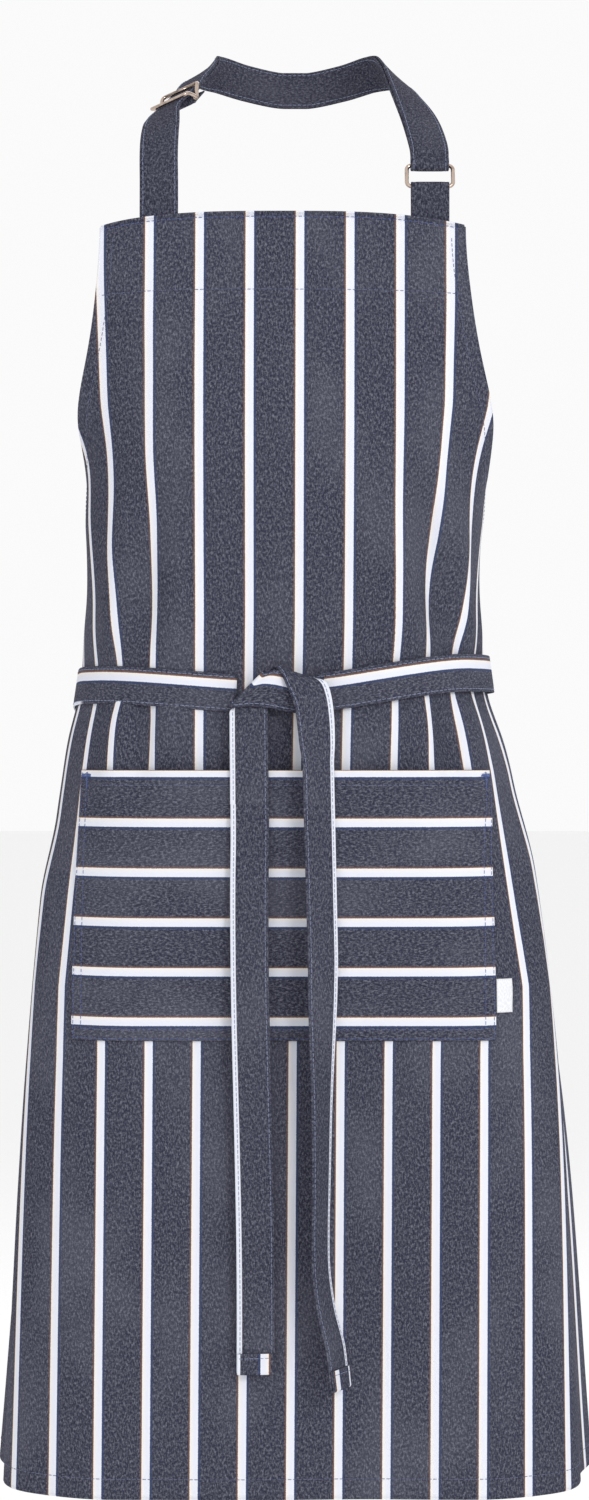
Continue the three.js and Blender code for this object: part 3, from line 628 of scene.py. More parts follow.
def stitches(name, path, normal, material, lift=0.0, **sizes):
    """A row of sewn stitches along a path, each a short thread that dips in at both ends."""
    size = {**STITCH, **sizes}
    path, normal = np.asarray(path, float), unit(normal)
    travel = arc_lengths(path)
    pitch = size["length"] + size["gap"]
    starts = np.arange(size["gap"] / 2, travel[-1] - size["length"], pitch)
    shares = np.array([0.0, 0.14, 0.5, 0.86, 1.0])
    heights = np.array([-0.75, 0.35, 0.75, 0.35, -0.75]) * size["radius"] + lift
    widths = np.array([0.45, 0.95, 1.0, 0.95, 0.45]) * size["radius"]
    where = starts[:, None] + shares[None] * size["length"]
    centre = np.stack([np.interp(where, travel, path[:, k]) for k in range(3)], -1)
    up = unit(np.stack([np.interp(where, travel, normal[:, k]) for k in range(3)], -1))
    along = unit(np.gradient(centre, axis=1))
    side = unit(np.cross(along, up))
    angle = np.arange(6) * math.pi / 3
    ring = (
        side[:, :, None] * np.cos(angle)[None, None, :, None]
        + up[:, :, None] * np.sin(angle)[None, None, :, None]
    ) * widths[None, :, None, None]
    points = centre[:, :, None] + up[:, :, None] * heights[None, :, None, None] + ring
    one = grid_faces(len(shares), 6, wrap=True)
    step = len(shares) * 6
    faces = (one[None] + np.arange(len(starts))[:, None, None] * step).reshape(-1, 4)
    v = np.repeat(where[:, :, None], 6, 2).reshape(-1)
    u = np.tile(np.arange(6) * 0.2, len(starts) * len(shares))
    uv = np.stack([u[faces], v[faces]], -1).reshape(-1, 2)
    return make(name, points, faces[:, ::-1], uv, material)


def tape_stitches(name, at, across, out, thick=TAPE_THICK, width=TAPE_WIDTH, faces=(1, -1)):
    """Rows of stitches along both edges of a tape, on the faces given, as one piece."""
    rows = []
    width = np.broadcast_to(np.asarray(width, float), (len(at),))[:, None]
    for face in faces:
        for side in (-1, 1):
            path = at + across * side * TAPE_STITCH * width / 2 + out * face * 0.33 * thick
            rows.append(stitches(name, path, out * face, GREY_THREAD, 0.12))
    return joined(name, rows)


def joined(name, objects):
    """One object from several that share a material and a slot."""
    first = objects[0]
    bpy.ops.object.select_all(action="DESELECT")
    for obj in objects:
        obj.select_set(True)
    bpy.context.view_layer.objects.active = first
    bpy.ops.object.join()
    first.name = name
    return first


def tube(name, points, radius, sideways, closed=False, sides=14):
    """A round nickel wire through points."""
    points = np.asarray(points, float)
    if closed:
        path = unit(np.roll(points, -1, 0) - np.roll(points, 1, 0))
    else:
        path = unit(np.gradient(points, axis=0))
    side = unit(np.cross(np.asarray(sideways, float), path))
    up = np.cross(path, side)
    angle = np.arange(sides) * 2 * math.pi / sides
    ring = side[:, None] * np.cos(angle)[None, :, None] + up[:, None] * np.sin(angle)[None, :, None]
    body = points[:, None] + ring * radius
    travel = arc_lengths(points)
    if closed:
        body = np.concatenate([body, body[:1]])
        travel = np.append(travel, travel[-1] + np.linalg.norm(points[0] - points[-1]))
    faces = grid_faces(len(body), sides, wrap=True)
    u = np.tile(np.arange(sides) * radius * 2 * math.pi / sides, len(body))
    uv = np.stack([u[faces], np.repeat(travel, sides)[faces]], -1).reshape(-1, 2)
    obj = make(name, body, faces, uv, NICKEL)

    def seal(work):
        bmesh.ops.remove_doubles(work, verts=work.verts, dist=1e-7)
        if not closed:
            bmesh.ops.holes_fill(work, edges=work.edges)

    reworked(obj, seal)
    return obj


# ---- camera, light and floor ----
CAMERA_PLACE = (0, -2.150, -0.465)
LENS = 73.27
AIM = (0, -0.1, -0.5)
FLOOR_Z = -1.32
FLOOR_HALF = 30.0


def add_view():
    scene = bpy.context.scene
    data = bpy.data.cameras.new("camera")
    data.sensor_width = 36
    data.lens = LENS
    data.clip_start, data.clip_end = 0.05, 100
    camera = bpy.data.objects.new("camera", data)
    camera.location = CAMERA_PLACE
    camera.rotation_euler = (math.pi / 2, 0, 0)
    scene.collection.objects.link(camera)
    scene.camera = camera
    scene.view_settings.view_transform = "Standard"

    world = bpy.data.worlds.new("studio")
    world.use_nodes = True
    world.node_tree.nodes["Background"].inputs[0].default_value = (1, 1, 1, 1)
    world.node_tree.nodes["Background"].inputs[1].default_value = 0.96
    scene.world = world
    for name, place, aim, size, power in (
        ("key", (1.3, -2.7, 0.6), AIM, 0.7, 30),
        ("fill", (-0.8, -3.0, 0.3), AIM, 1.6, 4),
        ("back", (0.6, 2.4, 1.3), (0, 0, -0.4), 1.8, 12),
    ):
        light = bpy.data.lights.new(name, "AREA")
        light.size = size
        light.energy = power
        lamp = bpy.data.objects.new(name, light)
        lamp.location = place
        direction = np.array(aim) - np.array(place)
        lamp.rotation_euler = Vector(direction).to_track_quat("-Z", "Y").to_euler()
        scene.collection.objects.link(lamp)

    floor_mesh = bpy.data.meshes.new("floor")
    corners = [(x * FLOOR_HALF, y * FLOOR_HALF, FLOOR_Z) for x, y in ((-1, -1), (1, -1), (1, 1), (-1, 1))]
    floor_mesh.from_pydata(corners, [], [(0, 1, 2, 3)])
    floor = bpy.data.objects.new("floor", floor_mesh)
    material = bpy.data.materials.new("floor")
    material.use_nodes = True
    shader = material.node_tree.nodes["Principled BSDF"]
    shader.inputs["Base Color"].default_value = (0.93, 0.93, 0.93, 1)
    shader.inputs["Roughness"].default_value = 0.9
    floor.data.materials.append(material)
    scene.collection.objects.link(floor)


# ---- panel, hems and their stitches ----
def flat_grid(shares, heights, half):
    z = np.broadcast_to(np.asarray(heights, float)[:, None], (len(heights), len(shares)))
    along = CENTRE_X + np.asarray(shares)[None, :] * np.asarray(half)[:, None]
    return along, np.array(z)


def panel_uv(along, z):
    return np.stack([stripe_u(along, z), z], -1)


def edge_path(side, from_z, to_z, count):
    """The panel's edge on one side, flat, and the direction into the cloth at each point."""
    if to_z >= WAIST_Z - 1e-6:
        low = math.asin((TOP_Z - from_z) / ARMHOLE)
        high = math.asin(min((TOP_Z - to_z) / ARMHOLE, 1))
        z = TOP_Z - ARMHOLE * np.sin(np.linspace(low, high, count))
    else:
        z = np.linspace(from_z, to_z, count)
    path = np.stack([CENTRE_X + side * half_width(z), z], -1)
    run = unit(np.gradient(path, axis=0))
    inward = np.stack([run[:, 1], -run[:, 0]], -1)
    inward *= -np.sign(inward[:, :1] * side + 1e-9)
    return path, inward


def seam_line(along, z, high, low):
    """Points on the cloth at one height, and the way outwards from another."""
    outside = cloth(along, z, high)
    return outside, outside - cloth(along, z, low)


def add_panel():
    angles = np.linspace(0, math.pi / 2, 74)
    armhole = TOP_Z - ARMHOLE * np.sin(angles)
    heights = np.concatenate([armhole, np.linspace(WAIST_Z, HEM_Z, 140)[1:]])
    half = half_width(heights)
    shares = np.linspace(-1, 1, 171)
    along, z = flat_grid(shares, heights, half)
    panel = slab("panel", along, z, PANEL_LOW, PANEL_HIGH, panel_uv(along, z), PANEL_DENIM)
    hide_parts("apron_panel")
    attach(panel, "apron")

    for side, word in ((-1, "left"), (1, "right")):
        for part, from_z, to_z, count in (("armhole", TOP_Z, WAIST_Z, 90), ("side", WAIST_Z, HEM_Z, 120)):
            path, inward = edge_path(side, from_z, to_z, count)
            hem = rolled_edge(f"{word}_{part}_fold", path, inward, SIDE_HEM, 0.65)
            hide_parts(f"{word}_{part}_hem")
            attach(hem, "apron")
            line = path + inward * (SIDE_HEM - 1.5)
            keep = slice(2, -6) if part == "armhole" else slice(3, -1)
            outside, normal = seam_line(line[:, 0], line[:, 1], PANEL_HIGH, PANEL_LOW)
            row = stitches(f"{word}_{part}_stitches", outside[keep], normal[keep], HEM_THREAD)
            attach(row, "apron")

    for name, z, up, back, replaced in (
        ("bib_fold", TOP_Z, -1.0, FACING, "bib_top_facing"),
        ("hem_fold", HEM_Z, 1.0, BOTTOM_HEM, "bottom_hem"),
    ):
        span = half_width(z)
        path = np.stack([np.linspace(CENTRE_X - span, CENTRE_X + span, 150), np.full(150, z)], -1)
        fold = rolled_edge(name, path, np.tile([0.0, up], (150, 1)), back, 1.05)
        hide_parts(replaced)
        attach(fold, "apron")
    for name, z, inset, replaced, material in (
        ("top_stitches", TOP_Z - 2.5, 3, "bib_top_stitching", BLUE_THREAD),
        ("facing_stitches", TOP_Z - FACING + 2.5, 4, "bib_facing_stitching", HEM_THREAD),
        ("hem_stitches", HEM_Z + BOTTOM_HEM - 2.5, 3, "bottom_hem_stitching", HEM_THREAD),
    ):
        span = half_width(z) - inset
        a = np.linspace(CENTRE_X - span, CENTRE_X + span, 300)
        outside, normal = seam_line(a, z, PANEL_HIGH, PANEL_LOW)
        row = stitches(name, outside, normal, material)
        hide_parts(replaced)
        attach(row, "apron")


# ---- pocket ----
POCKET_BASE = 2.0  # the pocket's inner face lies on its turned edges


def pocket_lift(share, z):
    down = (z - POCKET_END) / (POCKET_TOP - POCKET_END)
    gape = POCKET_GAPE * (1 - share**2) * np.sin(np.clip(down, 0, 1) * math.pi / 2)
    return POCKET_BASE + np.maximum(gape, 0)


def rounded_run(first, last, count, edge):
    """Places from first to last and on round the edge past both, and how deep each one lies."""
    turn = np.linspace(0, math.pi / 2, 5)[1:]
    flat = np.linspace(first, last, count)
    reach = np.sign(last - first) * edge * np.sin(turn)
    sink = edge * (1 - np.cos(turn))
    places = np.concatenate([first - reach[::-1], flat, last + reach])
    return places, np.concatenate([sink[::-1], 0 * flat, sink])


def add_pocket():
    edge = 0.55
    offsets, sink_a = rounded_run(edge - POCKET_HALF, POCKET_HALF - edge, 81, edge)
    heights, sink_z = rounded_run(POCKET_TOP - edge, POCKET_END + edge, 56, edge)
    share = np.clip(offsets / POCKET_HALF, -1, 1)
    along = np.broadcast_to(CENTRE_X + offsets[None], (len(heights), len(offsets)))
    z = np.array(np.broadcast_to(heights[:, None], along.shape))
    lift = pocket_lift(share[None], z)
    sunk = np.maximum(sink_a[None], sink_z[:, None])
    rolled = 1.5 * (1 - smoothstep(POCKET_TOP - z, 0.2, 1.5))
    uv = np.stack([POCKET_TOP - z + STRIPE_PITCH - 1.8 - rolled, along], -1)
    pocket = slab(
        "pocket_cloth", along, z, lift, lift + CLOTH - sunk * 1.1, uv, PANEL_DENIM
    )
    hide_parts("pocket")
    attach(pocket, "apron")

    # The mouth's hem, inside.
    inner_a = np.linspace(-POCKET_HALF + 4, POCKET_HALF - 4, 70)
    hem_z = np.linspace(POCKET_TOP - 0.7, POCKET_TOP - 12, 7)
    along = np.broadcast_to(CENTRE_X + inner_a[None], (len(hem_z), len(inner_a)))
    z = np.array(np.broadcast_to(hem_z[:, None], along.shape))
    lift = pocket_lift(inner_a[None] / POCKET_HALF, z)
    uv = np.stack([z - POCKET_TOP + STRIPE_PITCH - 2.2, along], -1)
    hem = slab("pocket_hem", along, z, lift - CLOTH - 0.1, lift - 0.1, uv, PANEL_DENIM)
    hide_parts("pocket_top_hem")
    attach(hem, "apron")

    def sewn(name, points, material, replaced=None, **sizes):
        points = np.array(points)
        top = pocket_lift(points[:, 0] / POCKET_HALF, points[:, 1]) + CLOTH
        face, normal = seam_line(CENTRE_X + points[:, 0], points[:, 1], top, top - 1)
        row = stitches(name, face, normal, material, **sizes)
        if replaced:
            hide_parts(replaced)
        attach(row, "apron")

    for name, inset, replaced in (
        ("pocket_edge_stitches", 1.5, "pocket_edge_stitching"),
        ("pocket_inner_stitches", 7.5, "pocket_inner_stitching"),
    ):
        side = POCKET_HALF - inset
        low = POCKET_END + inset
        down = [(-side, z) for z in np.linspace(POCKET_TOP - 1, low, 60)]
        across = [(a, low) for a in np.linspace(-side, side, 80)]
        sewn(name, down + across[1:-1] + [(-a, z) for a, z in down[::-1]], BLUE_THREAD, replaced)
    mouth = [(a, POCKET_TOP - 10) for a in np.linspace(-POCKET_HALF + 8, POCKET_HALF - 8, 120)]
    sewn("pocket_mouth_stitches", mouth, HEM_THREAD, "pocket_mouth_stitching")

    # Bar tacks at the mouth's corners: a close zigzag.
    for side, word in ((-1, "left"), (1, "right")):
        zigzag = [
            (side * (POCKET_HALF - 1.2 - k * 0.42), POCKET_TOP - (2.4 if k % 2 else 4.8)) for k in range(26)
        ]
        sewn(f"{word}_bar_tack", zigzag, BLUE_THREAD, length=2.2, gap=0.15, radius=0.26)
        down = [
            (side * (POCKET_HALF - (6.4 if k % 2 else 8.6)), POCKET_TOP - 1.5 - k * 0.5) for k in range(22)
        ]
        sewn(f"{word}_side_tack", down, BLUE_THREAD, length=2.0, gap=0.15, radius=0.24)


def add_label():
    """A folded ribbon flag out of the pocket's right seam; it is plain."""
    low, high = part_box("pocket_label")
    height = (high.z - low.z) / MM
    top = high.z / MM
    seam = POCKET_HALF + 0.6
    length = 11.6
    rows = np.linspace(0, 1, 18)
    outer = np.linspace(0, 1, 12)
    # Round the fold: out along the front leaf, back along the rear one.
    front = [(seam + s * length, 2.6 + 0.5 * math.sin(s * math.pi)) for s in outer]
    rear = [(seam + s * length, 1.9 + 0.3 * math.sin(s * math.pi)) for s in outer[::-1]]
    path = np.array(front + rear)
    thickness = 0.18
    z = top - rows * height
    along = np.broadcast_to(CENTRE_X + path[None, :, 0], (len(rows), len(path)))
    heights = np.broadcast_to(z[:, None], along.shape)
    sway = 0.35 * np.sin(rows * math.pi * 1.5)[:, None] * (path[None, :, 0] - seam) / length
    offset = path[None, :, 1] + sway
    uv = np.stack([along - CENTRE_X, heights], -1)
    inner = np.where(np.arange(len(path)) < len(front), -thickness, thickness)
    label = slab(
        "label_flag", along, np.array(heights), offset + inner[None], offset, uv, SATIN
    )
    reworked(label)
    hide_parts("pocket_label")
    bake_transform(label)


# ---- neck strap ----
RING = {"wire": 1.5, "drop": 18.0, "height": 14.4, "lean": 5.0}
SLIDER = {"wire": 1.4, "half": 11.0, "from": 19.0, "room": 1.0}
STRAP_X = 88.0
BIB_FRONT = float(on_form(STRAP_X, TOP_Z)[1])
SEWN_Y = BIB_FRONT + 1.2 + 2 * GAP
PIVOT = np.array([STRAP_X, SEWN_Y + RING["wire"] + GAP + 1.2, TOP_Z + RING["drop"]])
UPPER_BAR = PIVOT + (0, RING["lean"], RING["height"])
STRAP_FOLD = RING["wire"] + GAP + 1.0
RUN_FROM, RUN_TO = np.array([-86.0, -114, -38]), np.array([-64.0, -66, -6])
SLIDE = unit(RUN_TO - RUN_FROM)
SLIDER_WIDTH = np.array([0.84, 0.1, 0.52])
NAPE_Y = 3.35
STRAP_RUN = [
    ((-88.5, -159, -74), (1, 0, 0)),
    ((-88, -140, -54), (0.97, 0, 0.2)),
    (tuple(RUN_FROM), tuple(SLIDER_WIDTH)),
    (tuple(RUN_TO), tuple(SLIDER_WIDTH)),
    ((-54, -30, 4), (0.35, -0.1, 0.93)),
    ((-33, -6, 3), (0.1, 0, 1)),
    ((-9, NAPE_Y, 0), (0, 0, 1)),
    ((9, NAPE_Y, 0), (0, 0, 1)),
    ((33, -6, 3), (-0.1, 0, 1)),
    ((54, -30, 4), (-0.35, -0.1, 0.93)),
    ((66, -66, -6), (-0.7, 0, 0.7)),
    ((74, -98, -25), (-0.85, 0, 0.52)),
    ((83, -132, -51), (-0.97, 0, 0.2)),
    ((87.5, -153, -71), (-1, 0, 0)),
]
STRAP_STEPS = 10


def strap_run():
    """The outer layer's stations from the bib's left seam round the neck to the ring."""
    start = ((-STRAP_X, PIVOT[1], PIVOT[2]), (1, 0, 0))
    end = ((STRAP_X, UPPER_BAR[1] - STRAP_FOLD, UPPER_BAR[2] + 2 * RING["wire"]), (-1, 0, 0))
    run = [start, *STRAP_RUN, end]
    at = catmull([s[0] for s in run], STRAP_STEPS)
    width = catmull([s[1] for s in run], STRAP_STEPS)
    for k in (3, 7):
        part = slice(k * STRAP_STEPS, (k + 1) * STRAP_STEPS)
        share = np.arange(STRAP_STEPS)[:, None] / STRAP_STEPS
        at[part] = np.array(run[k][0]) * (1 - share) + np.array(run[k + 1][0]) * share
        width[part] = run[k][1]
    across, out = frames(at, width)
    return at, across, out


def round_bar(bar, radius, from_angle, to_angle, count, x):
    """Stations round a bar that lies along X; angle 0 is the front, and a quarter turn is the top."""
    angle = np.linspace(from_angle, to_angle, count)
    out = np.stack([0 * angle, -np.cos(angle), np.sin(angle)], -1)
    return np.array([x, bar[1], bar[2]]) + out * radius, out


def add_straps():
    at, across, out = strap_run()
    sunk = TAPE_THICK + 0.3
    # From behind the bib to the first free stretch; it bends where it leaves the bib.
    bend = STRAP_STEPS * 2
    seam_y = SEWN_Y + TAPE_THICK / 2
    sewn = np.array([(-STRAP_X, seam_y, z) for z in np.linspace(TOP_Z - 25, TOP_Z + 3, 10)])
    lower = np.vstack([sewn, at[1 : bend + 1]])
    lower = smooth_path(lower, 2)
    hint = np.vstack([np.tile([1.0, 0, 0], (len(sewn), 1)), across[1 : bend + 1]])
    w, o = frames(lower, hint)
    first = tape("strap_left", lower, w, -o, STRAP_DENIM, caps=(True, False))
    thread = tape_stitches("strap_left_stitches", lower, w, -o)
    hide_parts("strap_sewn_end")
    for piece in (first, thread):
        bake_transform(piece)
    # The long outer layer, its fold in the ring, and the return to the nape.
    fold_at, _ = round_bar(UPPER_BAR, STRAP_FOLD, 0, -math.pi, 17, STRAP_X)
    main, main_w, main_o = at[bend:], across[bend:], out[bend:]
    back = main[::-1] + main_o[::-1] * sunk
    back_w, back_o = main_w[::-1], -main_o[::-1]
    keep = (back[:, 2] > UPPER_BAR[2] + 8) | (back[:, 0] < 0)
    back, back_w, back_o = back[keep], back_w[keep], back_o[keep]
    nape = int(np.argmin(np.abs(back[:, 0])))
    loop = np.vstack([main, fold_at[1:], back[: nape + 1]])
    fold_w = np.tile([-1.0, 0, 0], (len(fold_at) - 1, 1))
    hint = np.vstack([main_w, fold_w, back_w[: nape + 1]])
    w, o = frames(loop, hint)
    long = tape("strap_neck", loop, w, -o, STRAP_DENIM, caps=(False, False))
    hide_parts("neck_strap")
    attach(long, "neck_loop")
    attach(tape_stitches("strap_neck_stitches", loop, w, -o), "neck_loop")
    # From the nape to the slider's middle bar, round it, and its sewn tail.
    rest = back[nape:]
    frame_at, frame_w, frame_o = slider_frame(SLIDER["from"])
    along = (rest - RUN_FROM) @ SLIDE
    rest = rest[(along > SLIDER["from"] + 24) | (rest[:, 0] > RUN_TO[0])]
    low = -(TAPE_THICK / 2 + 0.7 + 1.0 + SLIDER["wire"])
    bar = frame_at + frame_o * low
    turn = np.linspace(0, math.pi, 13)
    radius = SLIDER["wire"] + 0.3 + 0.65
    around = np.array([bar + (frame_o * math.cos(t) - SLIDE * math.sin(t)) * radius for t in turn])
    approach = around[0] + SLIDE * np.linspace(16, 2, 6)[:, None]
    tail = around[-1] + SLIDE * np.linspace(3, 17, 6)[:, None]
    tail = tail + frame_o * np.linspace(0.4, 1.1, 6)[:, None]
    path = np.vstack([rest, approach, around, tail])
    hint = np.vstack([back_w[nape : nape + len(rest)], np.tile(frame_w, (len(path) - len(rest), 1))])
    path[: len(rest) + 4] = smooth_path(path[: len(rest) + 4], 3)
    w, o = frames(path, hint)
    short = tape("strap_return", path, w, -o, STRAP_DENIM, thick=1.5, caps=(False, True))
    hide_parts("strap_end_loop")
    thread = tape_stitches("strap_return_stitches", path[: -14], w[: -14], -o[: -14], thick=1.5)
    for piece in (short, thread):
        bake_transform(piece)


def smooth_path(points, times):
    """Softens the corners of a path, its ends held."""
    points = np.array(points)
    for _ in range(times):
        points[1:-1] = (points[:-2] + 2 * points[1:-1] + points[2:]) / 4
    return points


def slider_frame(distance):
    at = RUN_FROM + SLIDE * distance
    out = unit(np.cross(SLIDER_WIDTH, SLIDE))
    return at, np.cross(SLIDE, out), out


def add_slider():
    at, across, out = slider_frame(SLIDER["from"])
    high = 1.0 + GAP + SLIDER["wire"]
    low = -(1.0 + 2 * GAP + 1.0 + SLIDER["wire"])
    side = TAPE_WIDTH / 2 + SLIDER["room"] + SLIDER["wire"]
    share = np.sin(np.linspace(-1, 1, 33) * math.pi / 2)

    def rail(aside, direction):
        s = direction * share
        height = low + (high - low) * np.sin(np.abs(s) * math.pi / 2)
        bow = aside * (1 - 0.10 * np.abs(s) ** 10)
        return (
            at
            + SLIDE * (s * SLIDER["half"])[:, None]
            + across * bow[:, None]
            + out * height[:, None]
        )

    loop = np.vstack([rail(side, 1), rail(-side, -1)])
    frame_wire = tube("slider_frame", loop, SLIDER["wire"] * 0.92, out, closed=True)
    bar_ends = [at + across * s + out * low for s in np.linspace(-side, side, 9)]
    bar = tube("slider_bar", bar_ends, SLIDER["wire"] * 0.85, out)
    whole = joined("slider_wire", [frame_wire, bar])
    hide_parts("strap_slider")
    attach(whole, "slider")


def add_ring():
    half = TAPE_WIDTH / 2 + 1 + RING["wire"]
    corner = 3.2
    up = UPPER_BAR - PIVOT
    height = np.linalg.norm(up)
    up = up / height
    points = []
    for sx, sz in ((1, 1), (-1, 1), (-1, -1), (1, -1)):
        turn = np.linspace(0, math.pi / 2, 9)
        if sx * sz < 0:
            turn = turn[::-1]
        for t in turn:
            x = sx * (half - corner + corner * math.cos(t))
            z = height / 2 + sz * (height / 2 - corner + corner * math.sin(t))
            points.append(PIVOT + np.array([x, 0, 0]) + up * z)
    ring = tube("ring_wire", points, RING["wire"] * 0.9, np.cross(up, (1, 0, 0)), closed=True)
    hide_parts("strap_ring")
    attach(ring, "ring")

    # The tab: up in front, over the lower bar, down behind, sewn inside the bib.
    radius = RING["wire"] + 0.3 + 0.6
    over, _ = round_bar(PIVOT, radius, 0, math.pi, 15, STRAP_X)
    front_y = PIVOT[1] - radius
    back_y = front_y + 1.9
    rise = np.array([(STRAP_X, front_y, z) for z in np.linspace(TOP_Z - 25, PIVOT[2] - 0.5, 16)])
    behind = PIVOT[1] + radius
    fall = [(STRAP_X, behind, PIVOT[2] - 2)]
    for k in range(7):
        fall.append((STRAP_X, back_y + 0.5 * (behind - back_y) * math.exp(-k), TOP_Z + 8 - 5 * k))
    path = smooth_path(np.vstack([rise, over[1:], fall]), 1)
    hint = np.tile([1.0, 0, 0], (len(path), 1))
    w, o = frames(path, hint)
    tab = tape("tab", path, w, -o, STRAP_DENIM, thick=1.25)
    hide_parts("ring_tab")
    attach(tab, "apron")
    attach(tape_stitches("tab_stitches", path, w, -o, thick=1.25, faces=(1,)), "apron")


# ---- waist ties ----
TIE_BASE = 1.35
TIE_WAIST = -415.0  # the height at which a tie runs behind
TIE_SEAM = 30.0  # how far in from the side a tie starts
BACK_DIP = 27.0
KNOT_Z = -429.0
TAIL_JOIN = -500.0
TAIL_ENDS = {"left": -872, "right": -880}


def back_middle():
    half, corner, side = form_at(TIE_WAIST)[:3]
    flat = half - corner
    turn = math.asin(1 - half / side)
    return float(flat + corner * math.pi / 2 + side * (math.pi / 2 - turn))


def tie_run(start_side, front_z, end_x, dip, lift):
    """A tie's stations from its sewn end on one side, round the back, to the front on the other."""
    middle = back_middle()
    waist = float(form_at(TIE_WAIST)[4])
    start = SKIRT_HALF - TIE_SEAM + start_side * (CENTRE_X - waist)
    to_middle = middle - start
    travel = np.linspace(0, to_middle + middle + start_side * (end_x - waist), 190)
    beyond = travel > to_middle
    u = np.where(beyond, middle - (travel - to_middle), start + travel)
    back = smoothstep(travel, 0, to_middle)
    side_share = smoothstep(u, 150, 300)
    front_share = smoothstep(u, 0, 130)
    front = KNOT_Z + (front_z - KNOT_Z) * front_share
    z = np.where(beyond, front + (TIE_WAIST - dip - front) * side_share, TIE_WAIST - dip * back)
    along = form_at(z)[:, 4] + np.where(beyond, -start_side, start_side) * u
    offset = TIE_BASE + (lift - TIE_BASE) * back + TAPE_THICK / 2
    offset = offset + 0.25 * np.sin(travel / 23.0) * smoothstep(travel, 20, 80)
    at = on_form(along, z, offset)
    slope = on_form(along, z + TAPE_WIDTH / 2, offset) - on_form(along, z - TAPE_WIDTH / 2, offset)
    across, out = frames(at, slope)
    outward = on_form(along, z, offset + 1) - at
    out = out * np.sign((out * outward).sum(-1, keepdims=True))
    return at, across, out


def stations(rows):
    """Smooth stations through given ones: place, width direction, outward side, and width."""
    at = catmull([r[0] for r in rows], 8)
    across = unit(catmull([r[1] for r in rows], 8))
    out = catmull([r[2] for r in rows], 8)
    out = unit(out - across * (out * across).sum(-1, keepdims=True))
    width = catmull([[r[3] if len(r) > 3 else TAPE_WIDTH] for r in rows], 8)[:, 0]
    return at, across, out, width


def add_tape(name, at, across, out, width=TAPE_WIDTH, caps=(False, False), look=TAPE_DENIM):
    """A striped tie and its stitches."""
    piece = tape(name, at, across, out, look, width=width, caps=caps)
    return piece, tape_stitches(f"{name}_stitches", at, across, out, width=width)


def add_ties():
    right = tie_run(-1, -414, 14, 0, TIE_BASE + TAPE_THICK + 0.5)
    left = tie_run(1, -422, -38, BACK_DIP, TIE_BASE)
    for name, run, replaced, look in (
        ("tie_right_front", right, "left_tie_band", BAND_DENIM),
        ("tie_left_front", left, "right_tie_band", LEFT_BAND_DENIM),
    ):
        piece, thread = add_tape(name, *run, caps=(True, True), look=look)
        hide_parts(replaced)
        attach(piece, "apron")
        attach(thread, "apron")

    # The right band goes on under the falling strand, over the left band, folds back on a
    # slant and becomes the left tail.
    slant = unit([1.0, 0, 1.0])
    hinge = np.array([-29.0, -174.9, -426.0])
    fold = []
    for angle in np.linspace(0, math.pi, 7):
        side = np.array([-math.sin(angle) * 0.7071, -math.cos(angle), math.sin(angle) * 0.7071])
        fold.append((hinge + side * 1.6, slant, side, 33.0))
    strand = [
        ((18, -169.6, -430.0), (0.10, 0, 1), (0, -1, 0)),
        ((8, -171.6, -429.5), (0.16, 0, 1), (0, -1, 0)),
        ((-4, -174.6, -427.6), (0.26, 0, 1), (0, -1, 0)),
        ((-14, -176.6, -425.6), (0.42, 0, 1), (0, -1, 0), 26.0),
        ((-22, -176.8, -425.0), (0.74, 0, 1), (0, -1, 0), 29.5),
        *fold,
        ((-29.5, -173.4, -434), (0.9, 0, 0.45), (0, 1, 0), 28.0),
        ((-29.6, -173.6, -444), (1, 0, 0.1), (0, 1, 0)),
        ((-29.5, -174.0, -460), (1, 0, 0), (0, 1, 0)),
        ((-29.3, -174.4, -480), (1, 0, 0), (0, 1, 0)),
        ((-29.2, -174.6, TAIL_JOIN), (1, 0, 0), (0, 1, 0)),
    ]
    at, across, out, width = stations(strand)
    piece, thread = add_tape("knot_left_strand", at, across, out, width, look=WRAP_DENIM)
    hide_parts("knot_wrap")
    for part in (piece, thread):
        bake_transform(part)

    # The left band goes up behind and over the top, and falls in front as the right tail.
    top = [
        ((-12, -169.5, -436), (-1, 0, 0), (0, -1, 0)),
        ((-9, -169.6, -425), (-0.98, 0, 0.16), (0, -1, 0)),
        ((-5, -171.0, -417.0), (-0.95, 0, 0.28), (0, -0.5, -0.9)),
        ((-1, -174.8, -415.0), (-0.93, 0, 0.32), (0, 0.1, -1)),
        ((4, -178.8, -418.0), (-0.96, 0, 0.12), (0, 0.7, -0.7)),
        ((9, -181.0, -425), (-0.96, 0, -0.25), (0, 1, 0)),
        ((12, -181.6, -434), (-0.94, -0.1, -0.30), (0, 1, 0)),
        ((13.6, -181.4, -446), (-0.95, -0.2, -0.2), (0, 1, 0)),
        ((14.6, -181.6, -460), (-0.92, -0.38, -0.1), (0, 1, 0)),
        *[right_station(z) for z in (-474, -488, TAIL_JOIN)],
    ]
    at, across, out, width = stations(top)
    piece, thread = add_tape("knot_right_strand", at, across, out, width, look=OVER_DENIM)
    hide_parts("knot_over")
    for part in (piece, thread):
        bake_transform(part)

    for word, station in (("left", left_station), ("right", right_station)):
        end = TAIL_ENDS[word]
        rows = [station(z) for z in np.linspace(TAIL_JOIN, end + 1.5, 16)]
        at, across, out, width = stations(rows)
        piece, thread = add_tape(f"{word}_tail", at, across, out, width, caps=(False, True))
        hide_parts(f"{word}_tail_upper", f"{word}_tail_lower")
        for part in (piece, thread):
            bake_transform(part)
        add_tail_hem(word, station, end)


def hanging(x, y, z, across, turn):
    """A tail's place, width direction and inner side, turned about the vertical."""
    return np.array([x, y, z], float), np.array(across), np.array([-math.sin(turn), math.cos(turn), 0])


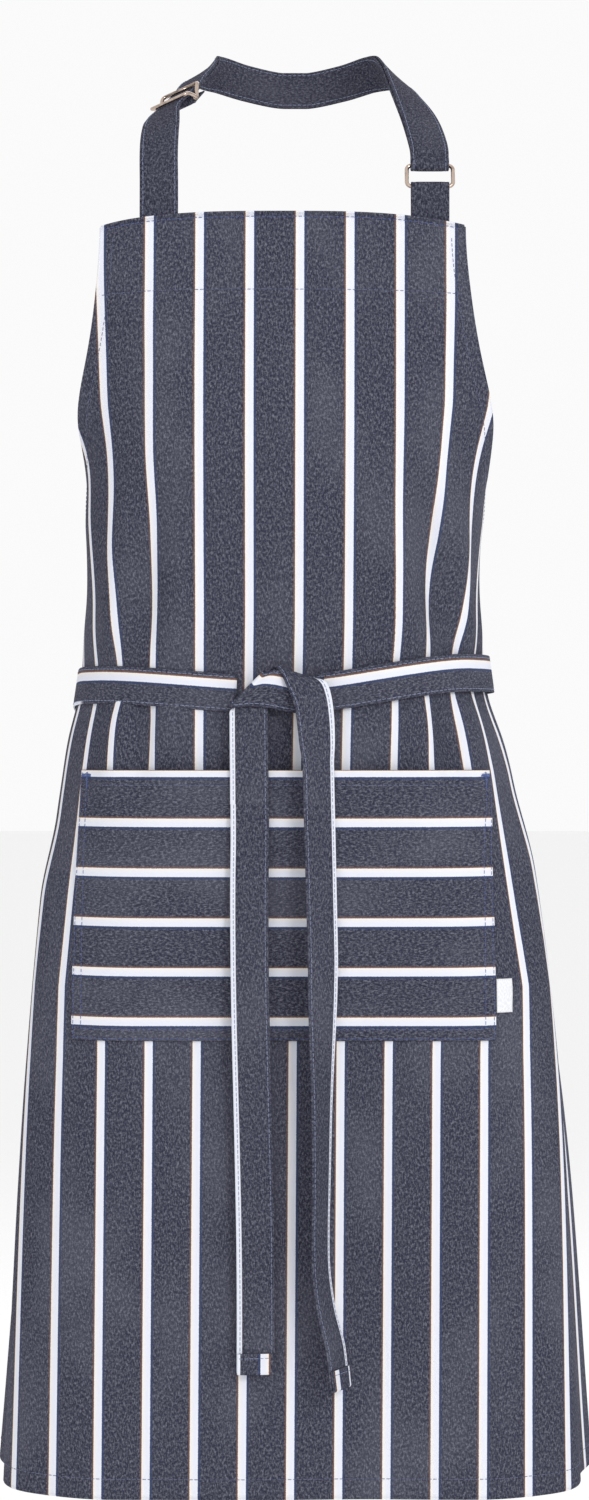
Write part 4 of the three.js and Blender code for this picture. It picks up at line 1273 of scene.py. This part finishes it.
def left_station(z):
    """The left tail hangs nearly flat, its white edge to the left."""
    x = np.interp(z, [-872, -745, -560, -443], [-25.4, -26.9, -28.4, -29.5])
    x = x + math.sin((z - TAIL_JOIN) / 60) * smoothstep(-z, 500, 560)
    y = np.interp(z, [-880, -800, -700, -640, -560, -443], [-160.5, -163.5, -168, -172.2, -174.6, -174.6])
    twist = math.radians(6 * math.sin((z - TAIL_JOIN) / 75) * float(smoothstep(-z, 500, 560)))
    return hanging(x, y, z, (math.cos(twist), math.sin(twist), 0), twist)


def right_station(z):
    """The right tail is turned, its left edge forward and its white edge to the right."""
    x = np.interp(z, [-880, -853, -831, -797, -745, -600, -476], [29.5, 26.6, 21.0, 16.6, 17.4, 18.4, 15.3])
    turn = np.interp(z, [-880, -853, -797, -745, -690, -620, -560, -476], [62, 61, 64, 63, 58, 40, 38, 36])
    y = np.interp(z, [-880, -800, -700, -640, -560, -476], [-170, -171, -173, -178, -181.2, -181.6])
    turn = math.radians(float(turn))
    return hanging(x, y, z, (-math.cos(turn), -math.sin(turn), 0), turn)


def add_tail_hem(word, station, end):
    """A tail's end, turned up to the front and sewn across."""
    rows = []
    for z in np.linspace(end + 14, end + 1.5, 5):
        place, across, out = station(z)
        rows.append((place - out * 1.75, across, -out, 24.6))
    place, across, out = station(end + 1.5)
    for angle in np.linspace(0, math.pi, 6)[1:]:
        side = np.array([0, 0, -1]) * math.sin(angle) - out * math.cos(angle)
        rows.append((place - out * 0.9 + side * 0.85, across, side, 24.6))
    at, across, out, width = stations(rows)
    hem = tape(f"{word}_tail_hem", at, across, out, TAPE_DENIM, 1.5, width)
    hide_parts(f"{word}_tail_end_hem")
    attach(hem, f"{word}_tail_end")
    place, across, out = station(end + 11)
    line = [place + across * s - out * 2.55 for s in np.linspace(-11.6, 11.6, 12)]
    row = stitches(f"{word}_tail_hem_stitches", line, np.tile(-out, (12, 1)), GREY_THREAD)
    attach(row, f"{word}_tail_end")


add_view()
add_panel()
add_pocket()
add_label()
add_straps()
add_slider()
add_ring()
add_ties()
